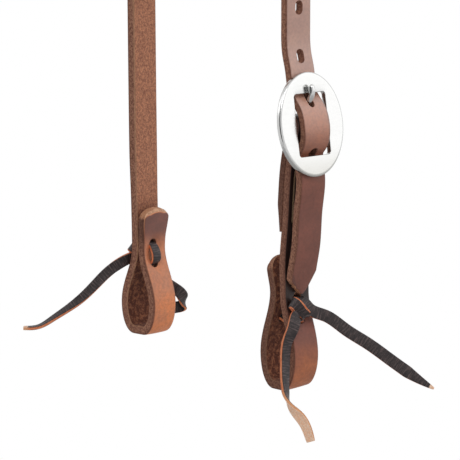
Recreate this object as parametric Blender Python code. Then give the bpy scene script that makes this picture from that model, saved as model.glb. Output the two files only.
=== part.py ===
"""Western headstall: a crown with its off-side cheek in one strap, a buckled near cheek and two bit ties.

Metres, +Z up. X runs across the horse's head, with the buckled near side at +X. Y runs along the strap's
width. The origin is on the underside of the crown, where it lies on the poll.
"""

import math
from typing import NamedTuple

import bmesh
import bpy
import numpy as np
from mathutils import Matrix, Vector

# Strap leather
STRAP_WIDTH = 0.016
STRAP_THICKNESS = 0.0045
STRAP_EDGE = 0.0009
FIT_GAP = 0.0003
CURVE_STEP = 0.0024
LONG_STEP = 0.0075
CUT_OVERRUN = 0.004

# Crown
CROWN_FLAT = 0.020
CROWN_BEND_RADIUS = 0.048
CROWN_LEG = 0.006

# Off cheek, down to the bit loop
OFF_SPREAD = 0.0606
OFF_LOWER_SPREAD = 0.0590
OFF_BOW_DROP = 0.150
OFF_LOWER_RISE = 0.0201
OFF_TURN_DEGREES = 6.0
TURN_START_DROP = 0.080
TURN_LENGTH = 0.160

# Split ear in the off cheek
EAR_WIDTH = 0.046
EAR_OPENING = 0.019
EAR_SLIT_LENGTH = 0.124
EAR_SHOULDER = 0.030
EAR_FULLNESS_SHARE = 1.6
EAR_DROP = 0.152

# Buckle
PLATE_REACH = 0.0735
PLATE_DROP = 0.3258
PLATE_TILT_DEGREES = 9.0
PLATE_WIDTH = 0.0430
PLATE_HEIGHT = 0.0534
PLATE_THICKNESS = 0.0030
PLATE_BEVEL = 0.0010
PLATE_CHAMFER = 0.0004
WINDOW_WIDTH = 0.0211
WINDOW_HEIGHT = 0.0319
WINDOW_CORNER = 0.0016
BAR_DIAMETER = 0.0040
BAR_STANDOFF = 0.0047
BAR_HEAD_DIAMETER = 0.0058
BAR_HEAD_LENGTH = 0.0009
LUG_THICKNESS = 0.0026
LUG_SIDE_GAP = 0.0032
LUG_WIDTH = 0.0080
LUG_SINK = 0.0006
TONGUE_DIAMETER = 0.0034
TONGUE_LENGTH = 0.0202
TONGUE_TIP_DIAMETER = 0.0024
HOOK_OPENING_DEGREES = 340.0

# Billet, through the buckle
BILLET_SPREAD = 0.0602
BILLET_BULGE = 0.0065
BILLET_TIP_LENGTH = 0.0105
BILLET_TIP_WIDTH = 0.0020
BILLET_TIP_THICKNESS = 0.0026
HOLE_WIDTH = 0.0040
HOLE_LENGTH = 0.0064
HOLE_PITCH = 0.0254
HOLES_ABOVE_TONGUE = 5
HOLES_BELOW_TONGUE = 1

# Near cheek, folded round the buckle's bar
FOLD_THICKNESS = 0.0038
FOLD_LEAN_DEGREES = 18.0
FOLD_LENGTH = 0.055
FOLD_END_THICKNESS = 0.0009
FOLD_SKIVE = 0.014
FOLD_THINNING = 0.014
TONGUE_SLOT_WIDTH = 0.0046
TONGUE_SLOT_MARGIN = 0.0006
NEAR_PINCH_SETBACK = 0.0064

# Stitching of the fold
THREAD_DIAMETER = 0.0009
THREAD_HOLE_DIAMETER = 0.0017
STITCH_PITCH = 0.0033
STITCHES_A_ROW = 9
STITCHES_ACROSS = 3
STITCH_EDGE_DISTANCE = 0.0030
STITCH_START = 0.0225
THREAD_SIDES = 6

# Bit ties
TIE_WIDTH = 0.0062
TIE_THICKNESS = 0.0018
TIE_CORNER = 0.0004
TIE_LEG_WIDTH = 0.0040
TIE_HOLE_DIAMETER = 0.0052
TIE_HOLE_PITCH = 0.0105
TIE_TIP_WIDTH = 0.0016
BAND_LENGTH = 0.0160
TIE_STEP = 0.0035
NEAR_LONG_TAIL_LENGTH = 0.078
NEAR_SHORT_TAIL_LENGTH = 0.074
OFF_LONG_TAIL_LENGTH = 0.076
OFF_SHORT_TAIL_LENGTH = 0.062

# Near bit loop, with rises above its bottom
NEAR_LOOP_REACH = 0.0562
NEAR_LOOP_DROP = 0.4623
NEAR_BELLY_DEPTH = 0.0269
NEAR_BELLY_RISE = 0.0160
NEAR_PINCH_GAP = 0.0031
NEAR_PINCH_RISE = 0.0490
NEAR_END_RISE = 0.0668
NEAR_SEAT_LENGTH = 0.0070
NEAR_TIE_RISE = 0.0400

# Off bit loop, with rises above its bottom
OFF_LOOP_REACH = 0.0569
OFF_LOOP_DROP = 0.4496
OFF_BELLY_DEPTH = 0.0250
OFF_BELLY_RISE = 0.0142
OFF_PINCH_GAP = 0.0003
OFF_PINCH_RISE = 0.0445
OFF_END_RISE = 0.0656
OFF_SEAT_LENGTH = 0.0070
OFF_TIE_RISE = 0.0412

# The strap's end, inside each loop
END_ROUNDING = 0.0070
END_NARROWING_SHARE = 0.45
END_SKIVE = 0.0100
END_THICKNESS = 0.0028


class Loop(NamedTuple):
    """Sizes of one bit loop; side is 1 on the near side and -1 on the off side."""

    side: int
    reach: float
    bottom_drop: float
    belly_depth: float
    belly_rise: float
    pinch_gap: float
    pinch_rise: float
    end_rise: float
    seat_length: float
    tie_rise: float


NEAR_LOOP = Loop(
    1, NEAR_LOOP_REACH, NEAR_LOOP_DROP, NEAR_BELLY_DEPTH, NEAR_BELLY_RISE,
    NEAR_PINCH_GAP, NEAR_PINCH_RISE, NEAR_END_RISE, NEAR_SEAT_LENGTH, NEAR_TIE_RISE,
)
OFF_LOOP = Loop(
    -1, OFF_LOOP_REACH, OFF_LOOP_DROP, OFF_BELLY_DEPTH, OFF_BELLY_RISE,
    OFF_PINCH_GAP, OFF_PINCH_RISE, OFF_END_RISE, OFF_SEAT_LENGTH, OFF_TIE_RISE,
)


class Tail(NamedTuple):
    """A free end of a tie: its length, and its route and the way its grain faces, as shares."""

    length: float
    route_shares: tuple
    facing_shares: tuple


# A route's points are out from the knot's place on the strap, along Y and up; out is +X on the near side.
# A facing goes with each of them: the direction that one face of the thong looks in, in the same order.
NEAR_LONG_TAIL = Tail(
    NEAR_LONG_TAIL_LENGTH,
    (
        (0.02, -0.01, 0.03), (0.03, 0.05, 0.01), (0.10, 0.14, -0.05), (0.20, 0.23, -0.15),
        (0.31, 0.33, -0.24), (0.41, 0.42, -0.33), (0.48, 0.49, -0.40), (0.56, 0.56, -0.47),
        (0.63, 0.63, -0.53),
    ),
    (
        (0.94, -0.20, 0.26), (0.83, -0.53, 0.16), (0.74, -0.65, 0.16), (0.74, -0.65, 0.16),
        (0.74, -0.65, 0.16), (0.74, -0.65, 0.16), (0.74, -0.65, 0.16), (0.74, -0.65, 0.16),
        (0.74, -0.65, 0.16),
    ),
)
NEAR_SHORT_TAIL = Tail(
    NEAR_SHORT_TAIL_LENGTH,
    (
        (0.02, 0.02, -0.01), (0.04, -0.04, -0.03), (0.07, -0.11, -0.10), (0.06, -0.16, -0.21),
        (0.06, -0.18, -0.33), (0.08, -0.20, -0.45), (0.09, -0.20, -0.56), (0.12, -0.19, -0.64),
        (0.19, -0.14, -0.74), (0.25, -0.11, -0.89),
    ),
    (
        (0.94, -0.20, 0.26), (0.81, -0.57, 0.16), (0.74, -0.65, 0.16), (0.74, -0.65, 0.16),
        (0.74, -0.65, 0.16), (0.74, -0.65, 0.16), (0.83, -0.53, 0.16), (0.93, -0.27, 0.25),
        (0.91, 0.01, 0.41), (0.93, 0.10, 0.35),
    ),
)
OFF_LONG_TAIL = Tail(
    OFF_LONG_TAIL_LENGTH,
    (
        (0.02, 0.01, 0.02), (0.04, -0.06, -0.03), (0.12, -0.19, -0.13), (0.17, -0.26, -0.21),
        (0.24, -0.35, -0.32), (0.31, -0.43, -0.40), (0.38, -0.51, -0.47), (0.44, -0.58, -0.52),
        (0.52, -0.65, -0.53),
    ),
    (
        (0.99, -0.04, 0.13), (0.98, -0.14, 0.13), (0.72, 0.63, -0.31), (0.66, 0.57, -0.49),
        (0.56, 0.45, -0.69), (0.33, 0.36, -0.87), (0.20, 0.22, -0.96), (0.10, 0.10, -0.99),
        (0.06, 0.06, -1.00),
    ),
)
OFF_SHORT_TAIL = Tail(
    OFF_SHORT_TAIL_LENGTH,
    (
        (0.04, -0.02, -0.01), (0.07, 0.08, -0.06), (0.08, 0.18, -0.18), (-0.04, 0.37, -0.37),
        (-0.10, 0.40, -0.42), (-0.10, 0.43, -0.48), (-0.07, 0.45, -0.53), (-0.02, 0.41, -0.55),
        (0.02, 0.35, -0.56), (0.06, 0.28, -0.56),
    ),
    (
        (0.99, -0.04, 0.13), (0.95, 0.28, -0.14), (0.74, 0.65, -0.16), (0.67, 0.72, -0.16),
        (0.84, 0.54, -0.06), (0.90, -0.37, 0.24), (-0.34, -0.89, 0.30), (-0.71, -0.69, 0.16),
        (-0.74, -0.65, 0.16), (-0.74, -0.65, 0.16),
    ),
)
# The knot's band, along Y, up and out from the strap, as shares of its length, its length and a thong's layer
BAND_SHARES = (
    (-0.41, 0.33, 0.75), (-0.35, 0.28, 1.35), (-0.26, 0.20, 1.70), (-0.06, 0.02, 1.80),
    (0.14, -0.16, 1.70), (0.24, -0.25, 1.45), (0.31, -0.31, 1.05),
)

# Worked out from the sizes above
SHOULDER_REACH = CROWN_FLAT / 2 + CROWN_BEND_RADIUS
CROWN_MIDDLE = STRAP_THICKNESS / 2
CROWN_END_DROP = CROWN_BEND_RADIUS + CROWN_LEG - CROWN_MIDDLE
SHOULDER_DROP = CROWN_END_DROP + STRAP_THICKNESS / 2 + FIT_GAP
BAR_RADIUS = BAR_DIAMETER / 2
FOLD_RADIUS = BAR_RADIUS + FIT_GAP + FOLD_THICKNESS / 2
HOOK_RADIUS = BAR_RADIUS + FIT_GAP + TONGUE_DIAMETER / 2
BAR_LEVEL = -PLATE_THICKNESS - BAR_STANDOFF
BEHIND_PLATE = -PLATE_THICKNESS - FIT_GAP - STRAP_THICKNESS / 2
LUG_INNER = WINDOW_WIDTH / 2 + LUG_SIDE_GAP / 4
BAR_HALF = LUG_INNER + LUG_THICKNESS + FIT_GAP

# The billet's centre line through the window, as shares of half the window's height and of its bulge
WEAVE_SHARES = (
    (1.68, 0.0), (1.20, 0.0), (1.03, 0.01), (0.87, 0.18), (0.66, 0.51), (0.45, 0.80),
    (0.22, 0.95), (-0.06, 1.0), (-0.36, 0.95), (-0.59, 0.76), (-0.77, 0.37), (-0.91, 0.05),
    (-1.05, 0.0), (-1.22, 0.0), (-1.60, 0.0),
)
# The tongue's centre line beyond its hook, as shares of its length up and of its level out of the bar
TONGUE_SHARES = (
    (0.02, 0.0), (0.19, -0.09), (0.36, 0.02), (0.54, 0.36), (0.70, 0.80), (0.83, 1.03), (1.0, 1.0),
)
# The billet below the buckle, as shares of the tail's length down and of the plate's standing out inward
TAIL_SHARES = ((0.0, 0.0), (0.30, -0.15), (0.60, -0.30), (0.83, -0.58), (1.0, -0.70))
TAIL_LENGTH = 0.0620
TAIL_DRAW_IN = 0.0112


def clamped(points, start, end, step):
    """A smooth curve through points, leaving along start and arriving along end where these are given."""
    points = np.asarray(points, float)
    spans = np.linalg.norm(np.diff(points, axis=0), axis=1)
    count = len(points)
    matrix = np.zeros((count, count))
    right = np.zeros_like(points)
    for i in range(1, count - 1):
        before, after = 1 / spans[i - 1], 1 / spans[i]
        matrix[i, i - 1 : i + 2] = before, 2 * (before + after), after
        right[i] = 3 * (before**2 * (points[i] - points[i - 1]) + after**2 * (points[i + 1] - points[i]))
    for row, beside, wanted, span in ((0, 1, start, spans[0]), (-1, -2, end, spans[-1])):
        if wanted is None:
            matrix[row, row], matrix[row, beside] = 2, 1
            right[row] = 3 * (points[max(row, beside)] - points[min(row, beside)]) / span
        else:
            matrix[row, row] = 1
            right[row] = np.asarray(wanted, float) / np.linalg.norm(wanted)
    slopes = np.linalg.solve(matrix, right)
    made = [points[:1]]
    for i, span in enumerate(spans):
        t = np.linspace(0, 1, max(2, math.ceil(span / step) + 1))[1:, None]
        a, b, c, d = 2 * t**3 - 3 * t**2 + 1, t**3 - 2 * t**2 + t, 3 * t**2 - 2 * t**3, t**3 - t**2
        made.append(a * points[i] + b * span * slopes[i] + c * points[i + 1] + d * span * slopes[i + 1])
    return np.concatenate(made)


def arc(centre, radius, start, end, step):
    """Points on an arc between two angles in degrees, measured from +X towards +Z."""
    turn = math.radians(end - start)
    angles = np.radians(start) + np.linspace(0, turn, max(3, math.ceil(abs(turn) * radius / step) + 1))
    return np.asarray(centre) + radius * np.stack([np.cos(angles), np.sin(angles)], -1)


def joined(*runs):
    """Runs of points laid end to end, with each shared end kept once."""
    points = np.concatenate(runs)
    apart = np.linalg.norm(np.diff(points, axis=0), axis=1)
    return points[np.concatenate([[True], apart > FIT_GAP / 3])]


def along(points):
    """The distance along a line of points at each of them."""
    return np.concatenate([[0], np.cumsum(np.linalg.norm(np.diff(points, axis=0), axis=1))])


def tangents(points, closed=False):
    """Unit directions along a line of points."""
    if closed:
        ways = np.roll(points, -1, axis=0) - np.roll(points, 1, axis=0)
    else:
        ways = np.gradient(points, axis=0)
    return ways / np.linalg.norm(ways, axis=1)[:, None]


def smooth_step(share):
    """0 below 0, 1 above 1 and an even ease between."""
    share = np.clip(share, 0, 1)
    return share * share * (3 - 2 * share)


def in_space(flat):
    """Points (x, z) of the upright middle plane as points in space."""
    return np.stack([flat[:, 0], np.zeros(len(flat)), flat[:, 1]], -1)


def material(name, colour, roughness, metallic=0.0):
    made = bpy.data.materials.new(name)
    made.use_nodes = True
    shader = made.node_tree.nodes["Principled BSDF"]
    shader.inputs["Base Color"].default_value = (*colour, 1)
    shader.inputs["Roughness"].default_value = roughness
    shader.inputs["Metallic"].default_value = metallic
    return made


def new_object(name, mesh, colouring=None):
    made = bpy.data.objects.new(name, mesh)
    bpy.context.scene.collection.objects.link(made)
    if colouring:
        mesh.materials.append(colouring)
        mesh.shade_smooth()
        mesh.set_sharp_from_angle(angle=math.radians(38))
    return made


def mesh_of(name, rings, closed=False):
    """A closed mesh through rings of as many points each, capped at both ends unless it closes on itself."""
    rings = np.asarray(rings, float)
    count, size, _ = rings.shape
    form = bmesh.new()
    corners = [[form.verts.new(point) for point in ring] for ring in rings]
    for i in range(count if closed else count - 1):
        here, there = corners[i], corners[(i + 1) % count]
        for j in range(size):
            k = (j + 1) % size
            form.faces.new((here[j], here[k], there[k], there[j]))
    if not closed:
        form.faces.new(corners[0])
        form.faces.new(corners[-1])
    bmesh.ops.recalc_face_normals(form, faces=form.faces)
    mesh = bpy.data.meshes.new(name)
    form.to_mesh(mesh)
    form.free()
    return mesh


def ribbon_rings(centres, across, widths, thicknesses, corner, closed=False):
    """Rings of a flat strip with eased edges; across is the unit direction of its width at each point."""
    ways = tangents(centres, closed)
    across = across - (across * ways).sum(1)[:, None] * ways
    across = across / np.linalg.norm(across, axis=1)[:, None]
    out = np.cross(across, ways)
    half, deep = np.asarray(widths) / 2, np.asarray(thicknesses) / 2
    ease = np.minimum(corner, 0.6 * deep)
    pairs = [
        (half - ease, deep), (half, deep - ease), (half, ease - deep), (half - ease, -deep),
        (ease - half, -deep), (-half, ease - deep), (-half, deep - ease), (ease - half, deep),
    ]
    return np.stack([centres + across * a[:, None] + out * b[:, None] for a, b in pairs], axis=1)


def strap_rings(flat, widths, thicknesses, corner=STRAP_EDGE):
    """Rings of a strap that follows (x, z) points, with its width along Y."""
    centres = in_space(flat)
    across = np.tile([0.0, 1.0, 0.0], (len(flat), 1))
    return ribbon_rings(centres, across, widths, thicknesses, corner)


def tube_rings(centres, radii, sides):
    """Rings of a round wire whose bends all lie in the upright middle plane."""
    ways = tangents(centres)
    side = np.tile([0.0, 1.0, 0.0], (len(centres), 1))
    out = np.cross(side, ways)
    angles = np.arange(sides) * math.tau / sides
    reach = np.stack([side * math.cos(a) + out * math.sin(a) for a in angles], axis=1)
    return centres[:, None] + reach * radii[:, None, None]


def cutter(name, mesh):
    made = new_object(name, mesh)
    made.hide_render = True
    made.display_type = "WIRE"
    return made


def boolean(target, other, operation):
    modifier = target.modifiers.new(other.name, "BOOLEAN")
    modifier.object = other
    modifier.operation = operation
    modifier.solver = "EXACT"


def prism(name, outline, middle, length_way, height_way, depth_way, depth):
    """A cutter: an outline of (length, height) points carried through the depth both ways from its middle."""
    ways = [np.asarray(way, float) for way in (length_way, height_way, depth_way)]
    ring = np.asarray(middle) + outline[:, :1] * ways[0] + outline[:, 1:] * ways[1]
    return cutter(name, mesh_of(name, [ring - ways[2] * depth / 2, ring + ways[2] * depth / 2]))


def slot_outline(length, width, sides):
    """An oblong with round ends; its length runs along the first axis."""
    straight = (length - width) / 2
    angles = np.linspace(-math.pi / 2, math.pi / 2, sides)
    end = np.stack([np.cos(angles), np.sin(angles)], -1) * width / 2
    return np.concatenate([end + [straight, 0], -end - [straight, 0]])


def round_outline(diameter, sides):
    angles = np.arange(sides) * math.tau / sides
    return np.stack([np.cos(angles), np.sin(angles)], -1) * diameter / 2


def on_plate(rise, level):
    """The (x, z) point at a rise along the buckle plate and a level out from its front face."""
    tilt = math.radians(PLATE_TILT_DEGREES)
    x = PLATE_REACH - rise * math.sin(tilt) + level * math.cos(tilt)
    z = -PLATE_DROP + rise * math.cos(tilt) + level * math.sin(tilt)
    return np.array([x, z])


def turned(points):
    """The off cheek's points, turned a little about its own length below the split ear."""
    share = smooth_step((-points[..., 2] - TURN_START_DROP) / TURN_LENGTH)
    angle = math.radians(OFF_TURN_DEGREES) * share
    x, y = points[..., 0] + OFF_LOWER_SPREAD, points[..., 1]
    across = np.cos(angle) * x - np.sin(angle) * y - OFF_LOWER_SPREAD
    return np.stack([across, np.sin(angle) * x + np.cos(angle) * y, points[..., 2]], -1)


def loop_half(loop, rise):
    """Half the distance between a loop's two layers, middle to middle, at a rise above its bottom."""
    pinch = (loop.pinch_gap + STRAP_THICKNESS) / 2
    belly = (loop.belly_depth - STRAP_THICKNESS) / 2
    share = np.clip((rise - loop.belly_rise) / (loop.pinch_rise - loop.belly_rise), 0, 1)
    return pinch + (belly - pinch) * (0.5 + 0.5 * np.cos(math.pi * share))


def loop_path(loop, spacing):
    """(x, z) points down the loop's outer layer, round its flat seat and up its inner layer to the end."""
    belly = (loop.belly_depth - STRAP_THICKNESS) / 2
    spans = math.ceil((loop.pinch_rise - loop.belly_rise) / spacing)
    rises = np.linspace(loop.pinch_rise, loop.belly_rise, spans + 1)
    upper = np.stack([loop_half(loop, rises), rises], -1)
    seat = loop.seat_length / 2
    angles = np.linspace(0, math.pi / 2, math.ceil(1.5 * loop.belly_rise / spacing) + 1)
    lower = np.stack([seat + (belly - seat) * np.cos(angles), loop.belly_rise * (1 - np.sin(angles))], -1)
    half = joined(upper, lower)
    straight = loop.end_rise - loop.pinch_rise
    rises = loop.pinch_rise + straight * np.linspace(0, 1, math.ceil(straight / spacing) + 1)
    end = np.stack([np.full(len(rises), loop_half(loop, loop.pinch_rise)), rises], -1)
    back = joined(half[::-1], end) * [-1, 1]
    return joined(half, back) * [loop.side, 1] + [loop.side * loop.reach, -loop.bottom_drop]


def loop_end_sizes(distances, total):
    """Widths and thicknesses that round and thin the strap's end at the end of its length."""
    left = total - distances
    share = np.clip(1 - left / END_ROUNDING, 0, 1)
    widths = STRAP_WIDTH * (1 - END_NARROWING_SHARE * (1 - np.sqrt(1 - share**2)))
    thin = smooth_step(1 - left / END_SKIVE)
    return widths, STRAP_THICKNESS + (END_THICKNESS - STRAP_THICKNESS) * thin


def hinge_end(flat, widths, thicknesses):
    """Adds the half-round end of a strap that turns about its first point, seen from its side."""
    angles = np.radians([82, 62, 38, 16])
    rises = STRAP_THICKNESS / 2 * np.sin(angles)
    top = np.stack([np.full(len(rises), flat[0, 0]), flat[0, 1] + rises], -1)
    return (
        np.concatenate([top, flat]),
        np.concatenate([np.full(len(rises), widths[0]), widths]),
        np.concatenate([STRAP_THICKNESS * np.cos(angles), thicknesses]),
    )


def make_crown(leather):
    """The strap over the poll, flat on top and bent down at both sides to its shoulders."""
    bend_x, bend_z = CROWN_FLAT / 2, CROWN_MIDDLE - CROWN_BEND_RADIUS
    down = np.array([[SHOULDER_REACH, bend_z], [SHOULDER_REACH, -CROWN_END_DROP]])
    near = joined(
        np.array([[0, CROWN_MIDDLE], [bend_x, CROWN_MIDDLE]]),
        arc((bend_x, bend_z), CROWN_BEND_RADIUS, 90, 0, 2 * CURVE_STEP),
        down,
    )
    flat = joined(near[::-1] * [-1, 1], near)
    sizes = np.full(len(flat), STRAP_WIDTH), np.full(len(flat), STRAP_THICKNESS)
    return new_object("crown_strap", mesh_of("crown_strap", strap_rings(flat, *sizes)), leather)


def ear_outline():
    """The split ear's opening as (Y, Z) points about its middle: two bows that meet at its ends."""
    rises = np.linspace(-0.5, 0.5, 17) * EAR_SLIT_LENGTH
    bow = EAR_OPENING / 2 * np.cos(math.pi * rises / EAR_SLIT_LENGTH) ** 0.8
    bow = np.maximum(bow, EAR_OPENING / 20)
    return np.concatenate([np.stack([bow, rises], -1), np.stack([-bow, rises], -1)[::-1]])


def make_off_cheek(leather):
    """The off side in one strap: the split ear, the cheek and the bit loop."""
    pinch = loop_path(OFF_LOOP, CURVE_STEP)[0]
    lower = pinch[1] + OFF_LOWER_RISE
    route = [
        (-SHOULDER_REACH, -SHOULDER_DROP),
        (-OFF_SPREAD, -OFF_BOW_DROP),
        (-OFF_SPREAD, (lower - OFF_BOW_DROP) / 2),
        (-OFF_LOWER_SPREAD, lower),
        pinch,
    ]
    flat = joined(clamped(route, (0, -1), (0, -1), LONG_STEP), loop_path(OFF_LOOP, CURVE_STEP))
    far = along(flat)
    widths, thicknesses = loop_end_sizes(far, far[-1])
    reach = EAR_SLIT_LENGTH / 2 + EAR_SHOULDER
    spread = smooth_step(EAR_FULLNESS_SHARE * (1 - np.abs(flat[:, 1] + EAR_DROP) / reach))
    widths = widths + (EAR_WIDTH - STRAP_WIDTH) * spread
    rings = strap_rings(*hinge_end(flat, widths, thicknesses))
    strap = new_object("off_cheek_strap", mesh_of("off_cheek_strap", turned(rings)), leather)
    middle = (-OFF_SPREAD, 0, -EAR_DROP)
    ear = prism("ear_cut", ear_outline(), middle, (0, 1, 0), (0, 0, 1), (1, 0, 0), 4 * STRAP_THICKNESS)
    bend_mesh(ear, turned)
    boolean(strap, ear, "DIFFERENCE")
    cut_tie_holes(strap, OFF_LOOP, turned)
    return strap


def bend_mesh(target, bend):
    """Moves each point of an object's mesh to its bent place."""
    count = len(target.data.vertices)
    places = np.empty(count * 3)
    target.data.vertices.foreach_get("co", places)
    target.data.vertices.foreach_set("co", bend(places.reshape(-1, 3)).ravel())
    target.data.update()


def cut_tie_holes(strap, loop, bend=None):
    """Two round holes, one above the other, through both layers of a bit loop."""
    for name, rise in (("upper", TIE_HOLE_PITCH / 2), ("lower", -TIE_HOLE_PITCH / 2)):
        middle = (loop.side * loop.reach, 0, -loop.bottom_drop + loop.tie_rise + rise)
        hole = prism(
            f"{strap.name}_{name}_tie_hole", round_outline(TIE_HOLE_DIAMETER, 12), middle,
            (0, 1, 0), (0, 0, 1), (1, 0, 0), loop.belly_depth + CUT_OVERRUN,
        )
        if bend:
            bend_mesh(hole, bend)
        boolean(strap, hole, "DIFFERENCE")


def billet_path():
    """(x, z) points down the billet, from the near shoulder through the buckle to its tip."""
    half = WINDOW_HEIGHT / 2
    weave = [on_plate(rise * half, BEHIND_PLATE + share * BILLET_BULGE) for rise, share in WEAVE_SHARES]
    above = [
        (SHOULDER_REACH, -SHOULDER_DROP),
        (BILLET_SPREAD - FIT_GAP, -OFF_BOW_DROP),
        (BILLET_SPREAD, -PLATE_DROP + 2 * PLATE_HEIGHT),
        (BILLET_SPREAD + FIT_GAP, -PLATE_DROP + 0.9 * PLATE_HEIGHT),
        (BILLET_SPREAD + STRAP_THICKNESS / 4, -PLATE_DROP + 0.66 * PLATE_HEIGHT),
    ]
    last = np.array(weave[-1])
    below = [last + [inward * TAIL_DRAW_IN, -down * TAIL_LENGTH] for down, inward in TAIL_SHARES[1:]]
    upper = clamped(above + weave[:1], (0, -1), weave[1] - weave[0], LONG_STEP)
    middle = clamped(weave, weave[1] - weave[0], None, CURVE_STEP / 2)
    slope = middle[-1] - middle[-2]
    return joined(upper, middle, clamped([weave[-1], *below], slope, None, 2 * CURVE_STEP))


def make_billet(leather):
    """The near end of the crown strap: punched with holes and passed through the buckle."""
    flat = billet_path()
    far = along(flat)
    left = far[-1] - far
    full = np.clip(left / BILLET_TIP_LENGTH, 0, 1) ** 0.75
    widths = BILLET_TIP_WIDTH + (STRAP_WIDTH - BILLET_TIP_WIDTH) * full
    thin = smooth_step(1 - left / BILLET_TIP_LENGTH)
    thicknesses = STRAP_THICKNESS + (BILLET_TIP_THICKNESS - STRAP_THICKNESS) * thin
    rings = strap_rings(*hinge_end(flat, widths, thicknesses))
    strap = new_object("near_billet_strap", mesh_of("near_billet_strap", rings), leather)
    fine = clamped(flat, None, None, CURVE_STEP / 8)
    crossing, through = tongue_crossing(fine)
    tongue_far = np.interp(-crossing[1], -flat[:, 1], far)
    for i in range(-HOLES_BELOW_TONGUE, HOLES_ABOVE_TONGUE + 1):
        middle, way = place_along(flat, far, tongue_far - i * HOLE_PITCH)
        if i == 0:
            middle, way = crossing, np.array([through[1], -through[0]])
        hole = prism(
            f"billet_hole_{i + HOLES_BELOW_TONGUE + 1}", slot_outline(HOLE_LENGTH, HOLE_WIDTH, 6),
            (middle[0], 0, middle[1]), (way[0], 0, way[1]), (0, 1, 0), (-way[1], 0, way[0]),
            3 * STRAP_THICKNESS,
        )
        boolean(strap, hole, "DIFFERENCE")
    return strap


def place_along(flat, far, at):
    """The point at a distance along a line of (x, z) points, and the unit direction there."""
    place = np.array([np.interp(at, far, column) for column in flat.T])
    ahead = np.array([np.interp(at + FIT_GAP, far, column) for column in flat.T])
    way = ahead - place
    return place, way / np.linalg.norm(way)


def tongue_line(spacing):
    """(x, z) points from the open end of the tongue's hook, round the bar and up to the tip."""
    level = TONGUE_DIAMETER / 2 + FIT_GAP - BAR_LEVEL - HOOK_RADIUS
    points = [(rise * TONGUE_LENGTH, BAR_LEVEL + HOOK_RADIUS + out * level) for rise, out in TONGUE_SHARES]
    hook = arc((0, BAR_LEVEL), HOOK_RADIUS, HOOK_OPENING_DEGREES, 90, spacing)
    local = joined(hook, clamped(points, (1, 0), None, spacing))
    return np.array([on_plate(rise, out) for rise, out in local])


def tongue_crossing(billet):
    """Where the tongue passes through the billet's middle, and its unit (x, z) direction there."""
    line = tongue_line(CURVE_STEP / 16)
    apart = np.linalg.norm(line[:, None] - billet[None], axis=-1).min(axis=1)
    nearest = int(np.argmin(apart))
    return line[nearest], tangents(line)[nearest]


def make_tongue(steel):
    line = tongue_line(CURVE_STEP / 2)
    left = along(line)[-1] - along(line)
    tip = np.clip(left / TONGUE_DIAMETER, 0, 1)
    radii = (TONGUE_TIP_DIAMETER + (TONGUE_DIAMETER - TONGUE_TIP_DIAMETER) * np.sqrt(tip)) / 2
    rings = tube_rings(in_space(line), radii, 12)
    return new_object("buckle_tongue", mesh_of("buckle_tongue", rings), steel)


def window_outline():
    """(Y, rise) points round the window, corner by corner."""
    across, up = WINDOW_WIDTH / 2 - WINDOW_CORNER, WINDOW_HEIGHT / 2 - WINDOW_CORNER
    points = []
    for turn, (a, b) in enumerate(((1, 1), (-1, 1), (-1, -1), (1, -1))):
        angles = np.radians(90 * turn) + np.linspace(0, math.pi / 2, 5)
        bow = WINDOW_CORNER * np.stack([np.cos(angles), np.sin(angles)], -1)
        corner = np.array([a * across, b * up]) + bow
        follow = ((-1, 1), (-1, -1), (1, -1), (1, 1))[turn]
        start = np.array([follow[0] * across, follow[1] * up]) + bow[-1]
        shares = np.linspace(0, 1, 9)[1:-1, None]
        points += [corner, corner[-1] + shares * (start - corner[-1])]
    return np.concatenate(points)


def window_grown(outline, by):
    """The window's outline moved outward by a distance, square to its sides."""
    across, up = WINDOW_WIDTH / 2, WINDOW_HEIGHT / 2
    return outline * [1 + by / across, 1 + by / up]


def oval_outline(like, inset):
    """The plate's oval, shrunk by an inset, at the directions of another outline's points."""
    a, b = PLATE_WIDTH / 2 - inset, PLATE_HEIGHT / 2 - inset
    angles = np.arctan2(like[:, 1] / PLATE_HEIGHT, like[:, 0] / PLATE_WIDTH)
    return np.stack([a * np.cos(angles), b * np.sin(angles)], -1)


def plate_points(outline, level):
    places = np.array([on_plate(rise, level) for rise in outline[:, 1]])
    return np.stack([places[:, 0], outline[:, 0], places[:, 1]], -1)


def make_plate(steel):
    """The oval buckle plate with its window, and two lugs behind it that carry the bar."""
    window = window_outline()
    back = -PLATE_THICKNESS
    profile = [
        (oval_outline(window, PLATE_CHAMFER), back),
        (oval_outline(window, 0), back + PLATE_CHAMFER),
        (oval_outline(window, 0), -PLATE_THICKNESS / 2),
        (oval_outline(window, PLATE_BEVEL / 2), -PLATE_BEVEL / 2),
        (oval_outline(window, 3 * PLATE_BEVEL / 2), 0),
        (window_grown(window, PLATE_CHAMFER), 0),
        (window, -PLATE_CHAMFER),
        (window, back + PLATE_CHAMFER),
        (window_grown(window, PLATE_CHAMFER), back),
    ]
    rings = [plate_points(outline, level) for outline, level in profile]
    plate = new_object("buckle_plate", mesh_of("buckle_plate", rings, closed=True), steel)
    for name, side in (("front", -1), ("back", 1)):
        lug = make_lug(f"lug_{name}", side)
        boolean(plate, lug, "UNION")
    bore = bar_prism("bar_bore", BAR_DIAMETER + 2 * FIT_GAP, 2 * BAR_HALF + CUT_OVERRUN, 16)
    boolean(plate, bore, "DIFFERENCE")
    return plate


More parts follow.
